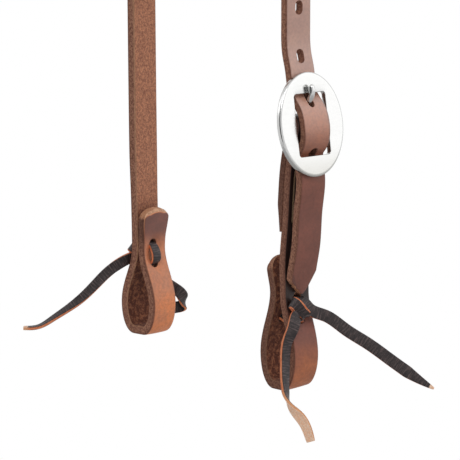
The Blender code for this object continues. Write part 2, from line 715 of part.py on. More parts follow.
def make_lug(name, side):
    """A lug behind the plate: straight from the plate and round about the bar."""
    root = -PLATE_THICKNESS + LUG_SINK
    angles = np.radians(np.linspace(0, -180, 9))
    round_end = [(LUG_WIDTH / 2 * math.cos(a), BAR_LEVEL + LUG_WIDTH / 2 * math.sin(a)) for a in angles]
    outline = np.array([(LUG_WIDTH / 2, root), *round_end, (-LUG_WIDTH / 2, root)])
    places = np.array([on_plate(rise, level) for rise, level in outline])
    inner, outer = side * LUG_INNER, side * (LUG_INNER + LUG_THICKNESS)
    rings = [np.stack([places[:, 0], np.full(len(places), y), places[:, 1]], -1) for y in (inner, outer)]
    return cutter(name, mesh_of(name, rings))


def bar_prism(name, diameter, length, sides):
    x, z = on_plate(0, BAR_LEVEL)
    return prism(name, round_outline(diameter, sides), (x, 0, z), (1, 0, 0), (0, 0, 1), (0, 1, 0), length)


def make_bar(steel):
    """The bar that the cheek and the tongue turn on, with a riveted head at each end."""
    x, z = on_plate(0, BAR_LEVEL)
    end = BAR_HALF + BAR_HEAD_LENGTH
    ease = BAR_HEAD_LENGTH / 3
    eased = BAR_HEAD_DIAMETER - 2 * ease
    steps = [
        (-end, eased), (ease - end, BAR_HEAD_DIAMETER), (-BAR_HALF, BAR_HEAD_DIAMETER), (-BAR_HALF, BAR_DIAMETER),
        (BAR_HALF, BAR_DIAMETER), (BAR_HALF, BAR_HEAD_DIAMETER), (end - ease, BAR_HEAD_DIAMETER), (end, eased),
    ]
    rings = []
    for y, diameter in steps:
        ring = round_outline(diameter, 20)
        rings.append(np.stack([x + ring[:, 0], np.full(len(ring), y), z + ring[:, 1]], -1))
    return new_object("buckle_bar", mesh_of("buckle_bar", rings), steel)


def front_layer():
    """(x, z) points of the near cheek from the fold's front down to the loop's pinch."""
    bar = on_plate(0, BAR_LEVEL)
    lean = math.radians(FOLD_LEAN_DEGREES)
    start = bar + FOLD_RADIUS * np.array([math.cos(lean), -math.sin(lean)])
    way = np.array([-math.sin(lean), -math.cos(lean)])
    pinch = loop_path(NEAR_LOOP, CURVE_STEP)[0]
    drop = start[1] - pinch[1]
    route = [
        start,
        start + way * 0.16 * drop,
        (pinch[0] + 0.62 * NEAR_PINCH_SETBACK, start[1] - 0.25 * drop),
        (pinch[0] + 0.46 * NEAR_PINCH_SETBACK, start[1] - 0.36 * drop),
        (pinch[0] + 0.22 * NEAR_PINCH_SETBACK, start[1] - 0.60 * drop),
        (pinch[0] - 0.07 * NEAR_PINCH_SETBACK, start[1] - 0.86 * drop),
        pinch,
    ]
    return clamped(route, way, (0, -1), CURVE_STEP)


def make_near_cheek(leather):
    """The near cheek: its skived short end, the fold round the bar, the cheek and the bit loop."""
    bar = on_plate(0, BAR_LEVEL)
    front = front_layer()
    down_front = along(front)
    ways = tangents(front)
    inward = np.stack([ways[:, 1], -ways[:, 0]], -1)
    offset = (fold_thickness(down_front) + short_thickness(down_front)) / 2 + FIT_GAP
    beside = front + inward * offset[:, None]
    lower = beside[(down_front > FOLD_THINNING) & (down_front < FOLD_LENGTH)]
    rise = clamped([lower[0], bar - [FOLD_RADIUS, 0]], lower[0] - lower[1], (0, 1), CURVE_STEP)
    over = arc(bar, FOLD_RADIUS, 180, -FOLD_LEAN_DEGREES, CURVE_STEP / 2)
    fold = joined(lower[::-1], rise, over)
    flat = joined(fold, front, loop_path(NEAR_LOOP, CURVE_STEP))
    far = along(flat)
    widths, thicknesses = loop_end_sizes(far, far[-1])
    down_front = far - along(fold)[-1]
    skived = np.interp(far, [0, FOLD_SKIVE], [FOLD_END_THICKNESS, FOLD_THICKNESS])
    folded = np.where(down_front < 0, skived, fold_thickness(down_front))
    rings = strap_rings(flat, widths, np.minimum(thicknesses, folded))
    strap = new_object("near_cheek_strap", mesh_of("near_cheek_strap", rings), leather)
    hollow = 2 * HOOK_RADIUS + TONGUE_DIAMETER + 2 * TONGUE_SLOT_MARGIN
    boolean(strap, bar_prism("tongue_slot", hollow, TONGUE_SLOT_WIDTH, 24), "DIFFERENCE")
    cut_tie_holes(strap, NEAR_LOOP)
    boolean(strap, stitch_holes(), "DIFFERENCE")
    return strap


def fold_thickness(distance):
    """The front layer's thickness at a distance below the fold."""
    share = smooth_step(np.asarray(distance) / FOLD_THINNING)
    return FOLD_THICKNESS + (STRAP_THICKNESS - FOLD_THICKNESS) * share


def short_thickness(distance):
    """The short end's thickness beside a distance down the front layer."""
    share = np.clip((FOLD_LENGTH - np.asarray(distance)) / FOLD_SKIVE, 0, 1)
    return FOLD_END_THICKNESS + (FOLD_THICKNESS - FOLD_END_THICKNESS) * share


def stitch_places():
    """(distance down the front layer, Y) of each thread hole: down one edge, across and up the other."""
    edge = STRAP_WIDTH / 2 - STITCH_EDGE_DISTANCE
    rows = STITCH_START + STITCH_PITCH * np.arange(STITCHES_A_ROW)
    between = np.linspace(-edge, edge, STITCHES_ACROSS + 1)[1:-1]
    down = [(row, -edge) for row in rows]
    over = [(rows[-1], y) for y in between]
    return down + over + [(row, edge) for row in rows[::-1]]


def stitch_frame(distance):
    """The front layer's centre, inward direction, thickness and the whole depth of both layers there."""
    front = front_layer()
    far = along(front)
    centre, way = place_along(front, far, distance)
    inward = np.array([way[1], -way[0]])
    deep = fold_thickness(distance)
    both = deep + FIT_GAP + short_thickness(distance)
    return centre, way, inward, deep, both


def stitch_holes():
    """One cutter of round pins, one at each thread hole."""
    form = bmesh.new()
    for distance, y in stitch_places():
        centre, way, inward, deep, both = stitch_frame(distance)
        rings = []
        for level in (-deep / 2 - THREAD_DIAMETER, both - deep / 2 + THREAD_DIAMETER):
            place = centre + inward * level
            ring = round_outline(THREAD_HOLE_DIAMETER, 6)
            rings.append([form.verts.new((place[0] + way[0] * a, y + b, place[1] + way[1] * a)) for a, b in ring])
        for j in range(6):
            k = (j + 1) % 6
            form.faces.new((rings[0][j], rings[0][k], rings[1][k], rings[1][j]))
        form.faces.new(rings[0])
        form.faces.new(rings[1])
    bmesh.ops.recalc_face_normals(form, faces=form.faces)
    mesh = bpy.data.meshes.new("stitch_holes")
    form.to_mesh(mesh)
    form.free()
    return cutter("stitch_holes", mesh)


def make_stitching(linen):
    """One unbroken thread that runs in and out of the fold's two layers."""
    radius = THREAD_DIAMETER / 2
    centres = []
    for i, (distance, y) in enumerate(stitch_places()):
        centre, _, inward, deep, both = stitch_frame(distance)
        front = centre - inward * (deep / 2 + FIT_GAP + radius)
        back = centre + inward * (both - deep / 2 + FIT_GAP + radius)
        pair = (front, back) if i % 2 else (back, front)
        centres += [(place[0], y, place[1]) for place in pair]
    rings = carried_rings(np.array(centres), radius, THREAD_SIDES)
    return new_object("fold_stitching", mesh_of("fold_stitching", rings), linen)


def carried_rings(centres, radius, sides):
    """Rings of a thread round each point, carried from run to run without twisting and mitred at its corners."""
    steps = np.diff(centres, axis=0)
    steps /= np.linalg.norm(steps, axis=1)[:, None]
    side = np.array([0.0, 1.0, 0.0]) - steps[0] * steps[0][1]
    side /= np.linalg.norm(side)
    up = np.cross(steps[0], side)
    angles = np.arange(sides) * math.tau / sides
    ring = np.array([side * math.cos(a) + up * math.sin(a) for a in angles]) * radius
    rings = [centres[0] + ring]
    for i in range(1, len(centres) - 1):
        plane = steps[i - 1] + steps[i]
        reach = (ring @ plane) / (steps[i - 1] @ plane)
        mitred = ring - reach[:, None] * steps[i - 1]
        rings.append(centres[i] + mitred)
        back = (mitred @ steps[i])[:, None] * steps[i]
        ring = mitred - back
    rings.append(centres[-1] + ring)
    return rings


def tie_frame(loop):
    """Where a tie's knot sits: the middle of the outer face, its outward and upward unit (x, z) directions."""
    path = loop_path(loop, CURVE_STEP / 4)
    half = path[: len(path) // 2]
    height = -loop.bottom_drop + loop.tie_rise
    i = int(np.argmin(np.abs(half[:, 1] - height)))
    way = half[i - 1] - half[i + 1]
    up = way / np.linalg.norm(way)
    out = np.array([up[1], -up[0]]) * loop.side
    return half[i] + out * STRAP_THICKNESS / 2, out, up


def make_tie(loop, name, tails, lace, bend=None):
    """A thong laced through both layers of a bit loop, knotted on the outer side, with two free ends."""
    face, out, up = tie_frame(loop)
    across, out, up = np.array([0.0, 1.0, 0.0]), in_space(out[None])[0], in_space(up[None])[0]
    face = in_space(face[None])[0]
    body = ribbon(name, laced_round(loop), None, TIE_LEG_WIDTH, closed=True, lace=lace)
    steps = np.array([BAND_LENGTH, BAND_LENGTH, TIE_THICKNESS + FIT_GAP / 2])
    band = [face + across * a + up * b + out * c for a, b, c in np.array(BAND_SHARES) * steps]
    pieces = [ribbon(f"{name}_band", np.array(band), np.tile(out, (len(band), 1)), TIE_WIDTH)]
    for i, tail in enumerate(tails):
        route = face + np.array(tail.route_shares) * tail.length * [loop.side, 1, 1]
        line = clamped(route, None, None, TIE_STEP)
        facing = np.array(tail.facing_shares) * [loop.side, 1, 1]
        share, spots = along(line) / along(line)[-1], along(route) / along(route)[-1]
        normals = np.stack([np.interp(share, spots, column) for column in facing.T], -1)
        pieces.append(ribbon(f"{name}_tail_{i + 1}", line, normals, TIE_WIDTH, tip=True))
    for piece in pieces:
        boolean(body, piece, "UNION")
    if bend:
        for piece in [body, *pieces]:
            bend_mesh(piece, bend)
    return body


def laced_round(loop):
    """The thong's closed round: in at one hole, down the far side, back at the other and up under the knot."""
    rise = TIE_HOLE_PITCH / 2
    low = FIT_GAP + TIE_THICKNESS / 2
    path = loop_path(loop, CURVE_STEP / 4)
    half = len(path) // 2
    corners = []
    for layer, sign, order in ((path[:half], 1, (-1, 1)), (path[half:], -1, (1, -1))):
        for end in order:
            height = -loop.bottom_drop + loop.tie_rise + end * rise
            i = int(np.argmin(np.abs(layer[:, 1] - height)))
            way = layer[i + 1] - layer[i - 1]
            lean = abs(way[1]) / np.linalg.norm(way)
            x = layer[i, 0] + sign * loop.side * (STRAP_THICKNESS / 2 + low) / lean
            corners.append((x, height))
    corners = np.array(corners)
    made = []
    for i in range(4):
        before, here, after = corners[i - 1], corners[i], corners[(i + 1) % 4]
        a = (before - here) / np.linalg.norm(before - here)
        b = (after - here) / np.linalg.norm(after - here)
        bend = TIE_THICKNESS * 0.75
        for share in np.linspace(0, 1, 4):
            made.append(here + bend * ((1 - share) ** 2 * a + share**2 * b))
    return in_space(np.array(made))


def ribbon(name, centres, normals, width, closed=False, lace=None, tip=False):
    """A flat thong along centres, its grain facing along normals, or along X and Z where it is laced round."""
    ways = tangents(centres, closed)
    if normals is None:
        across = np.tile([0.0, 1.0, 0.0], (len(centres), 1))
    else:
        across = np.cross(normals, ways)
        across /= np.linalg.norm(across, axis=1)[:, None]
    widths = np.full(len(centres), width)
    if tip:
        far = along(centres)
        left = far[-1] - far
        widths = TIE_TIP_WIDTH + (width - TIE_TIP_WIDTH) * np.clip(left / (3 * TIE_WIDTH), 0, 1) ** 0.8
        widths = np.minimum(widths, TIE_LEG_WIDTH + (width - TIE_LEG_WIDTH) * smooth_step(far / TIE_WIDTH))
    rings = ribbon_rings(centres, across, widths, np.full(len(centres), TIE_THICKNESS), TIE_CORNER, closed)
    mesh = mesh_of(name, rings, closed)
    return new_object(name, mesh, lace) if lace else cutter(name, mesh)


def axis_at(name, x, z):
    """An empty on a joint's axis, which the pieces that turn about it hang from."""
    made = bpy.data.objects.new(name, None)
    made.location = (x, 0, z)
    bpy.context.scene.collection.objects.link(made)
    return made


def hang(piece, axis):
    """Gives a piece its axis as parent and its origin there, and leaves it where it is."""
    piece.data.transform(Matrix.Translation(-Vector(axis.location)))
    piece.parent = axis


def main():
    for old in list(bpy.data.objects):
        bpy.data.objects.remove(old, do_unlink=True)
    russet = (0.29, 0.13, 0.08)
    steel = material("polished_steel", (0.80, 0.80, 0.79), 0.22, 1.0)
    bar_steel = material("bar_steel", (0.62, 0.62, 0.61), 0.35, 1.0)
    tongue_steel = material("tongue_steel", (0.74, 0.74, 0.73), 0.25, 1.0)
    linen = material("waxed_thread", (0.62, 0.52, 0.38), 0.7)
    make_crown(material("crown_leather", russet, 0.55))
    off_cheek = make_off_cheek(material("off_cheek_leather", russet, 0.6))
    billet = make_billet(material("billet_leather", russet, 0.5))
    near_cheek = make_near_cheek(material("near_cheek_leather", russet, 0.55))
    plate = make_plate(steel)
    bar = make_bar(bar_steel)
    tongue = make_tongue(tongue_steel)
    stitching = make_stitching(linen)
    near_lace = material("near_tie_leather", (0.04, 0.025, 0.025), 0.6)
    off_lace = material("off_tie_leather", (0.04, 0.025, 0.025), 0.6)
    near_tie = make_tie(NEAR_LOOP, "near_bit_tie", (NEAR_LONG_TAIL, NEAR_SHORT_TAIL), near_lace)
    off_tie = make_tie(OFF_LOOP, "off_bit_tie", (OFF_LONG_TAIL, OFF_SHORT_TAIL), off_lace, turned)
    off_shoulder = axis_at("off_shoulder_axis", -SHOULDER_REACH, -SHOULDER_DROP)
    near_shoulder = axis_at("near_shoulder_axis", SHOULDER_REACH, -SHOULDER_DROP)
    bar_axis = axis_at("bar_axis", *on_plate(0, BAR_LEVEL))
    tongue_axis = axis_at("tongue_axis", *on_plate(0, BAR_LEVEL))
    for pieces, axis in (
        ((off_cheek, off_tie), off_shoulder),
        ((billet, plate, bar), near_shoulder),
        ((near_cheek, stitching, near_tie), bar_axis),
        ((tongue,), tongue_axis),
    ):
        for piece in pieces:
            hang(piece, axis)
    bpy.context.view_layer.update()


main()
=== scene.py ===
"""Western headstall: the dressed model with its finishes, its plain studio and its camera.

Lengths are metres in the part's own frame. +Z is up, +X runs across the head to the buckled near side, and Y runs
along the strap's width. The origin is on the crown's underside, where it lies on the poll.
"""

import logging
import math
from collections.abc import Callable
from dataclasses import dataclass, field
from enum import IntEnum
from functools import cached_property

import bpy
import numpy as np
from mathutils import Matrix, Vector
from numpy.typing import NDArray


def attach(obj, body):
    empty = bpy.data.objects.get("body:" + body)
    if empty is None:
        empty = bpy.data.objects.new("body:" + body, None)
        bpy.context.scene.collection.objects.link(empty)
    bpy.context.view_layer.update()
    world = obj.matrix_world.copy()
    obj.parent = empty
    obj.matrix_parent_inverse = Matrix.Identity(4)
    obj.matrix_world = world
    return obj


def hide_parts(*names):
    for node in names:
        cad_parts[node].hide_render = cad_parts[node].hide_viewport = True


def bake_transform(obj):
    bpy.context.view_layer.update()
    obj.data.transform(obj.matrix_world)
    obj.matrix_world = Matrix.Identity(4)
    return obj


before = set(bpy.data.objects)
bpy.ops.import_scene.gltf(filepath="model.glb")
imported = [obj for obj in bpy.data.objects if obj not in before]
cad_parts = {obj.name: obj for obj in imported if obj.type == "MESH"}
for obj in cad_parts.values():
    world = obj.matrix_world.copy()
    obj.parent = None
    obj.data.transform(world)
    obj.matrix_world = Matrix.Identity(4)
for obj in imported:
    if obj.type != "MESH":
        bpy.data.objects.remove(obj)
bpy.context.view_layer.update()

Points = NDArray[np.float64]
Colour = tuple[float, float, float]
Bend = Callable[[Points], Points]
Span = tuple[float, float]
Material = bpy.types.Material
Object = bpy.types.Object
Socket = bpy.types.NodeSocket

log = logging.getLogger("headstall")
MM = 0.001
QUARTER = math.pi / 2
X_WAY, Y_WAY, Z_WAY = np.eye(3)
SHARP = math.radians(42)


# Lines and directions


def ease(share: Points | float) -> Points:
    """An even ease: 0 below 0, 1 above 1, and 3t² - 2t³ between."""
    share = np.clip(share, 0, 1)
    return share * share * (3 - 2 * share)


def ramp(value: Points, start: float, length: float) -> Points:
    """Eases from 0 to 1 as a value in metres goes on from a start over a length, both in millimetres."""
    return ease((value - start * MM) / (length * MM))


def bell(value: Points, width: float) -> Points:
    """A bell curve that is 1 at 0 and 1/e at its width."""
    return np.exp(-((value / width) ** 2))


def unit(ways: Points) -> Points:
    """Directions scaled to a length of one."""
    return ways / np.linalg.norm(ways, axis=-1, keepdims=True)


def headings(points: Points) -> Points:
    """Unit directions along a line of points."""
    return unit(np.gradient(points, axis=0))


def beside(ways: Points) -> Points:
    """Flat directions turned a quarter clockwise, as (x, z)."""
    return np.stack([ways[..., 1], -ways[..., 0]], -1)


def far_along(points: Points) -> Points:
    """The distance along a line of points at each of them."""
    return np.concatenate([[0], np.cumsum(np.linalg.norm(np.diff(points, axis=0), axis=1))])


def end_to_end(*runs: Points) -> Points:
    """Runs of points laid end to end, with each shared end kept once."""
    points = np.concatenate(runs)
    apart = np.linalg.norm(np.diff(points, axis=0), axis=1)
    return points[np.concatenate([[True], apart > 0.02 * MM])]


def values_at(wanted: Points | float, far: Points, values: Points) -> Points:
    """Columns of values given at distances, read at the wanted distances."""
    return np.stack([np.interp(wanted, far, column) for column in values.T], -1)


def read_at(points: Points, wanted: Points) -> Points:
    """Points read off a line at the wanted distances along it."""
    return values_at(wanted, far_along(points), points)


def evenly(points: Points, step: float) -> Points:
    """The same line with its points an even step apart, rounded so that both ends are kept."""
    length = far_along(points)[-1]
    return read_at(points, np.linspace(0, length, max(2, round(length / step)) + 1))


def smooth_curve(points: Points, start: Points | None, end: Points | None, step: float) -> Points:
    """A curve of cubic spans through points, with its slope and its bend even where the spans meet.

    Args:
        points: the points that it passes through.
        start: the direction in which it leaves, or None for an end without bend.
        end: the direction in which it arrives, or None for an end without bend.
        step: the longest spacing wanted.

    Returns:
        Closely spaced points on the curve.
    """
    points = np.asarray(points, float)
    steps = np.diff(points, axis=0)
    spans = np.linalg.norm(steps, axis=1)
    count = len(points)
    matrix = np.zeros((count, count))
    right = np.zeros_like(points)
    inner = np.arange(1, count - 1)
    before, after = 1 / spans[:-1], 1 / spans[1:]
    matrix[inner, inner - 1] = before
    matrix[inner, inner] = 2 * (before + after)
    matrix[inner, inner + 1] = after
    right[inner] = 3 * (before[:, None] ** 2 * steps[:-1] + after[:, None] ** 2 * steps[1:])
    for row, second, wanted, chord in ((0, 1, start, steps[0] / spans[0]), (-1, -2, end, steps[-1] / spans[-1])):
        matrix[row, [row, second]] = (2, 1) if wanted is None else (1, 0)
        right[row] = 3 * chord if wanted is None else unit(np.asarray(wanted, float))
    slopes = np.linalg.solve(matrix, right)
    made = [points[:1]]
    for i, span in enumerate(spans):
        t = np.linspace(0, 1, max(2, math.ceil(span / step) + 1))[1:, None]
        a, b, c, d = 2 * t**3 - 3 * t**2 + 1, t**3 - 2 * t**2 + t, 3 * t**2 - 2 * t**3, t**3 - t**2
        made.append(a * points[i] + b * span * slopes[i] + c * points[i + 1] + d * span * slopes[i + 1])
    return np.concatenate(made)


def circle(angles: Points, radius: float = 1.0) -> Points:
    """Points on a circle about the origin, at angles in radians."""
    return radius * np.stack([np.cos(angles), np.sin(angles)], -1)


def all_round(count: int) -> Points:
    """Even angles once round a circle, in radians."""
    return np.arange(count) * math.tau / count


def arc_points(centre: Points, radius: float, start: float, end: float, step: float) -> Points:
    """Points on a circle's arc between two angles in degrees, measured from +X towards +Z."""
    turn = math.radians(end - start)
    shares = np.linspace(0, turn, max(3, math.ceil(abs(turn) * radius / step) + 1))
    return np.asarray(centre) + circle(math.radians(start) + shares, radius)


def in_space(flat: Points, y: float = 0.0) -> Points:
    """Points (x, z) as points in space at one Y."""
    return np.stack([flat[..., 0], np.full(flat.shape[:-1], y), flat[..., 1]], -1)


# Meshes


class Zone(IntEnum):
    """The three surfaces of cut leather, in the order of a piece's material slots."""

    GRAIN = 0
    FLESH = 1
    EDGE = 2


def grid_faces(rows: int, stations: int, size: int) -> NDArray[np.int32]:
    """Four corners for each face of a grid that closes round, between a number of its rings and the next ones."""
    i, j = np.meshgrid(np.arange(rows), np.arange(size), indexing="ij")
    here, there, after = i * size, (i + 1) % stations * size, (j + 1) % size
    return np.stack([here + j, here + after, there + after, there + j], -1).reshape(-1, 4)


def dressed(name: str, mesh: bpy.types.Mesh, finishes: list[Material]) -> Object:
    """A mesh as an object in the scene with its finishes, smooth but for its sharp corners.

    Args:
        name: the object's name.
        mesh: its faces.
        finishes: its material slots, in order.

    Returns:
        The new object.
    """
    for finish in finishes:
        mesh.materials.append(finish)
    mesh.update()
    mesh.shade_smooth()
    mesh.set_sharp_from_angle(angle=SHARP)
    piece = bpy.data.objects.new(name, mesh)
    bpy.context.scene.collection.objects.link(piece)
    return piece


@dataclass
class Skin:
    """A surface on a grid: rings of points carried along a path, with what its finish reads.

    places is (stations, points round, 3). lay is the distance along the path and the distance over the
    surface for each face's two sides, and wear is how far the leather is stretched and how near its rim is.
    """

    places: Points
    zones: NDArray[np.int32]
    lay: Points
    wear: Points
    closed: bool = False

    def build(self, name: str, finishes: list[Material]) -> Object:
        """Puts the surface into a mesh object, closed by a flat end at each end unless it closes on itself.

        Args:
            name: the piece's name.
            finishes: its material slots, in the order of Zone.

        Returns:
            The new object, at the origin.
        """
        stations, size = self.places.shape[:2]
        quads = grid_faces(len(self.zones), stations, size)
        ends = [] if self.closed else [np.arange(size)[::-1], np.arange(size) + (stations - 1) * size]
        vertices = self.places.reshape(-1, 3)
        a, b, c, d = vertices[quads.T]
        volume = (np.cross(c - a, d - b) * (a + b + c + d)).sum() / 4
        for end in ends:
            ring = vertices[end]
            volume += (np.cross(ring, np.roll(ring, -1, 0)).sum(0) * ring.mean(0)).sum()
        inward = volume < 0
        if inward:
            quads, ends = quads[:, ::-1], [end[::-1] for end in ends]
        mesh = bpy.data.meshes.new(name)
        mesh.from_pydata(vertices, [], [*quads.tolist(), *[end.tolist() for end in ends]])
        zones = np.concatenate([self.zones.ravel(), np.full(len(ends), self.zones[-1, 0])])
        mesh.polygons.foreach_set("material_index", zones.astype(np.int32))
        for title, corners in (("Lay", self.lay), ("Wear", self.wear)):
            values = corners.reshape(-1, 4, 2)
            values = values[:, ::-1] if inward else values
            shut = [corners[0, 0, 0], corners[-1, 0, 2]][: len(ends)]
            flat = np.concatenate([values.reshape(-1, 2), *[np.tile(value, (size, 1)) for value in shut]])
            mesh.uv_layers.new(name=title).data.foreach_set("uv", flat.ravel())
        return dressed(name, mesh, finishes)


def corner_values(here: Points, there: Points) -> Points:
    """Values for the four corners of every face, from (stations, points) values on the face's two sides."""
    return np.stack([here[:-1], there[:-1], there[1:], here[1:]], -1)


def round_values(values: Points) -> Points:
    """Corner values where a face's other side is the next point round the ring."""
    return corner_values(values, np.roll(values, -1, 1))


def flat_values(values: Points, size: int) -> Points:
    """Corner values from one value per station, the same all the way round."""
    spread = np.repeat(values[:, None], size, 1)
    return corner_values(spread, spread)


def plain_skin(rings: Points, closed: bool = False) -> Skin:
    """A surface all in one zone, with both of its maps still at 0."""
    places = np.array(rings)
    shape = (len(places) - (not closed), places.shape[1])
    return Skin(places, np.zeros(shape, np.int32), np.zeros((*shape, 4, 2)), np.zeros((*shape, 4, 2)), closed)


def rows_of(*rows: Points | float) -> Points:
    """Rows of one table, where a plain number fills its row."""
    return np.stack(np.broadcast_arrays(*rows))


@dataclass
class Cut:
    """A flat strip's cut across its length, at each station along it.

    left and right are the half widths towards -Y and +Y, half the thickness is half, and the grain's and the
    flesh's corners are eased by their own amounts across and through the strip.
    """

    left: Points
    right: Points
    half: Points
    grain_across: Points
    grain_through: Points
    flesh_ease: Points
    crowning: float = 0.15 * MM
    wrapped: bool = False
    face_points: int = 15
    corner_points: int = 5
    side_points: int = 5

    def outline(self) -> tuple[Points, Points, NDArray[np.int32]]:
        """Points round the cut: across and out at every station, and the zone that follows each point.

        Each point is a row of six shares: of the half width and the half thickness, and of the grain's and the
        flesh's easing that come off them across the strip and then through it. A face runs from side to side, a
        corner is a quarter of an ellipse, and a side joins the two corners.
        """
        across = np.linspace(-1, 1, self.face_points)
        turn = np.linspace(0, 1, self.corner_points + 1)[1:-1] * QUARTER
        left, fall = 1 - np.sin(turn), 1 - np.cos(turn)
        side = np.linspace(1, 0, self.side_points)
        right_side = np.concatenate([
            rows_of(1, 1, left, 0, fall, 0), rows_of(1, 2 * side - 1, 0, 0, side, side - 1),
            rows_of(1, -1, 0, fall, 0, -left),
        ], 1)
        left_side = right_side[:, ::-1] * np.array([-1, 1, -1, -1, 1, 1])[:, None]
        face, under = rows_of(across, 1, across, 0, 0, 0), rows_of(-across, -1, 0, -across, 0, 0)
        shape = np.concatenate([face, right_side, under, left_side], 1)
        a, b, grain_a, flesh_a, grain_b, flesh_b = (row[None] for row in shape)
        wide = np.where(a < 0, self.left[:, None], self.right[:, None])
        grain, through, flesh = self.grain_across[:, None], self.grain_through[:, None], self.flesh_ease[:, None]
        out_across = a * wide - grain_a * grain - flesh_a * flesh
        out_through = b * self.half[:, None] - grain_b * through - flesh_b * flesh
        on_face = (b == 1) & (grain_b == 0)
        out_through = out_through + self.crowning * np.where(on_face, 1 - a**2, 0)
        size = shape.shape[1]
        last, first_under = self.face_points - 1, self.face_points + right_side.shape[1]
        turns = self.corner_points if self.wrapped else max(1, self.corner_points // 2)
        zones = np.full(size, Zone.EDGE, np.int32)
        zones[: last + turns] = zones[size - turns :] = Zone.GRAIN
        zones[first_under : first_under + last] = Zone.FLESH
        if self.wrapped:
            zones[first_under - turns : first_under + last + turns] = Zone.FLESH
        return out_across, out_through, zones


@dataclass
class Looks:
    """What a strip's finish reads at each station, each from 0 to 1.

    pull is how far the grain is stretched, and below 0 how much shadow is painted on it under another strap. deep
    is how much shade is painted on the flesh side. raw is how pale the cut edge is, and below 0 how much shade is
    painted on it.
    """

    pull: Points
    deep: Points
    raw: Points


def carry(path: Points, across: Points, out: Points, cut: Cut, looks: Looks) -> Skin:
    """A strip's surface: its cut carried along a path.

    Args:
        path: the strip's middle line.
        across: the unit direction of its width at each station.
        out: the unit direction that its grain faces at each station.
        cut: the shape across it at each station.
        looks: what its finish reads.

    Returns:
        The surface with its zones and the values its finish reads.
    """
    a, b, zones = cut.outline()
    places = path[:, None] + across[:, None] * a[..., None] + out[:, None] * b[..., None]
    rows = len(path) - 1
    flat = zones != Zone.EDGE
    over = np.where(flat, a, b), np.where(flat, np.roll(a, -1, 1), np.roll(b, -1, 1))
    lay = np.stack([flat_values(far_along(path), len(zones)), corner_values(*over)], -1)
    zones = np.repeat(zones[None], rows, 0)
    by_zone = np.stack([looks.pull, looks.deep, looks.raw])
    first, second = (by_zone[zones, np.arange(rows)[:, None] + ahead] for ahead in (0, 1))
    rim = np.minimum(cut.left, cut.right)[:, None] - np.abs(a)
    wear = np.stack([np.stack([first, first, second, second], -1), round_values(rim)], -1)
    return Skin(places, zones, lay, wear)


def ring_outline(width: float, length: float, points: int) -> Points:
    """An oblong with round ends as (along, across) points: the ends are half circles, the sides straight."""
    end = circle(np.linspace(-QUARTER, QUARTER, points), width / 2)
    straight = [(length - width) / 2, 0]
    return np.concatenate([end + straight, -end - straight])


def outward(outline: Points) -> Points:
    """Unit directions square to a closed outline, pointing away from it."""
    ways = unit(beside(np.roll(outline, -1, 0) - np.roll(outline, 1, 0)))
    return ways * np.sign((ways * (outline - outline.mean(0))).sum(1).mean())


@dataclass
class Punch:
    """A round-mouthed punch: an outline pushed through leather, wider where it breaks each face.

    The outline's own two directions and the direction through the leather are given in space, and half is half
    the leather's thickness.
    """

    outline: Points
    middle: Points
    along: Points
    across: Points
    through: Points
    half: float = 2.25 * MM
    flare: float = 0.45 * MM
    overrun: float = 1.6 * MM
    mouth: float = 1.0

    def skin(self) -> Skin:
        """The punch's surface: the outline at each level, grown by a quarter circle near both faces."""
        turn = np.linspace(0, QUARTER, 4)
        levels = np.append(self.half - self.flare + self.flare * np.sin(turn), self.half + self.overrun)
        grown = np.append(self.flare * (1 - np.cos(turn)), self.flare * 1.6) * self.mouth
        levels, grown = np.concatenate([-levels[::-1], levels]), np.concatenate([grown[::-1], grown])
        flat = self.outline[None] + outward(self.outline)[None] * grown[:, None, None]
        places = self.middle + flat[..., :1] * self.along + flat[..., 1:] * self.across
        made = plain_skin(places + levels[:, None, None] * self.through)
        made.zones += Zone.EDGE
        round_far = np.repeat(far_along(np.vstack([self.outline, self.outline[:1]]))[None], len(levels), 0)
        over = corner_values(round_far[:, :-1], round_far[:, 1:])
        made.lay = np.stack([over, flat_values(levels, len(self.outline))], -1)
        return made


def punched(piece: Object, punches: list[Object]) -> None:
    """Cuts punches out of a piece for good, and removes them.

    Args:
        piece: the piece to cut.
        punches: closed objects that don't touch each other.
    """
    for punch in punches:
        cut = piece.modifiers.new(punch.name, "BOOLEAN")
        cut.object, cut.operation, cut.solver = punch, "DIFFERENCE", "EXACT"
    finished = piece.evaluated_get(bpy.context.evaluated_depsgraph_get())
    mesh = bpy.data.meshes.new_from_object(finished)
    piece.modifiers.clear()
    for old in (piece, *punches):
        used = old.data
        if old is piece:
            piece.data = mesh
        else:
            bpy.data.objects.remove(old)
        bpy.data.meshes.remove(used)
    mesh.name = piece.name
    mesh.shade_smooth()
    mesh.set_sharp_from_angle(angle=SHARP)


def joined(name: str, pieces: list[Object]) -> Object:
    """Several objects as one, under a new name."""
    with bpy.context.temp_override(active_object=pieces[0], selected_editable_objects=pieces):
        bpy.ops.object.join()
    pieces[0].name = pieces[0].data.name = name
    return pieces[0]


# Finishes


def linear(colour: Colour) -> tuple[float, float, float, float]:
    """A display colour from 0 to 255 as the linear values that a shader takes."""
    share = np.asarray(colour) / 255
    light = np.where(share <= 0.04045, share / 12.92, ((share + 0.055) / 1.055) ** 2.4)
    return (*[float(value) for value in light], 1.0)


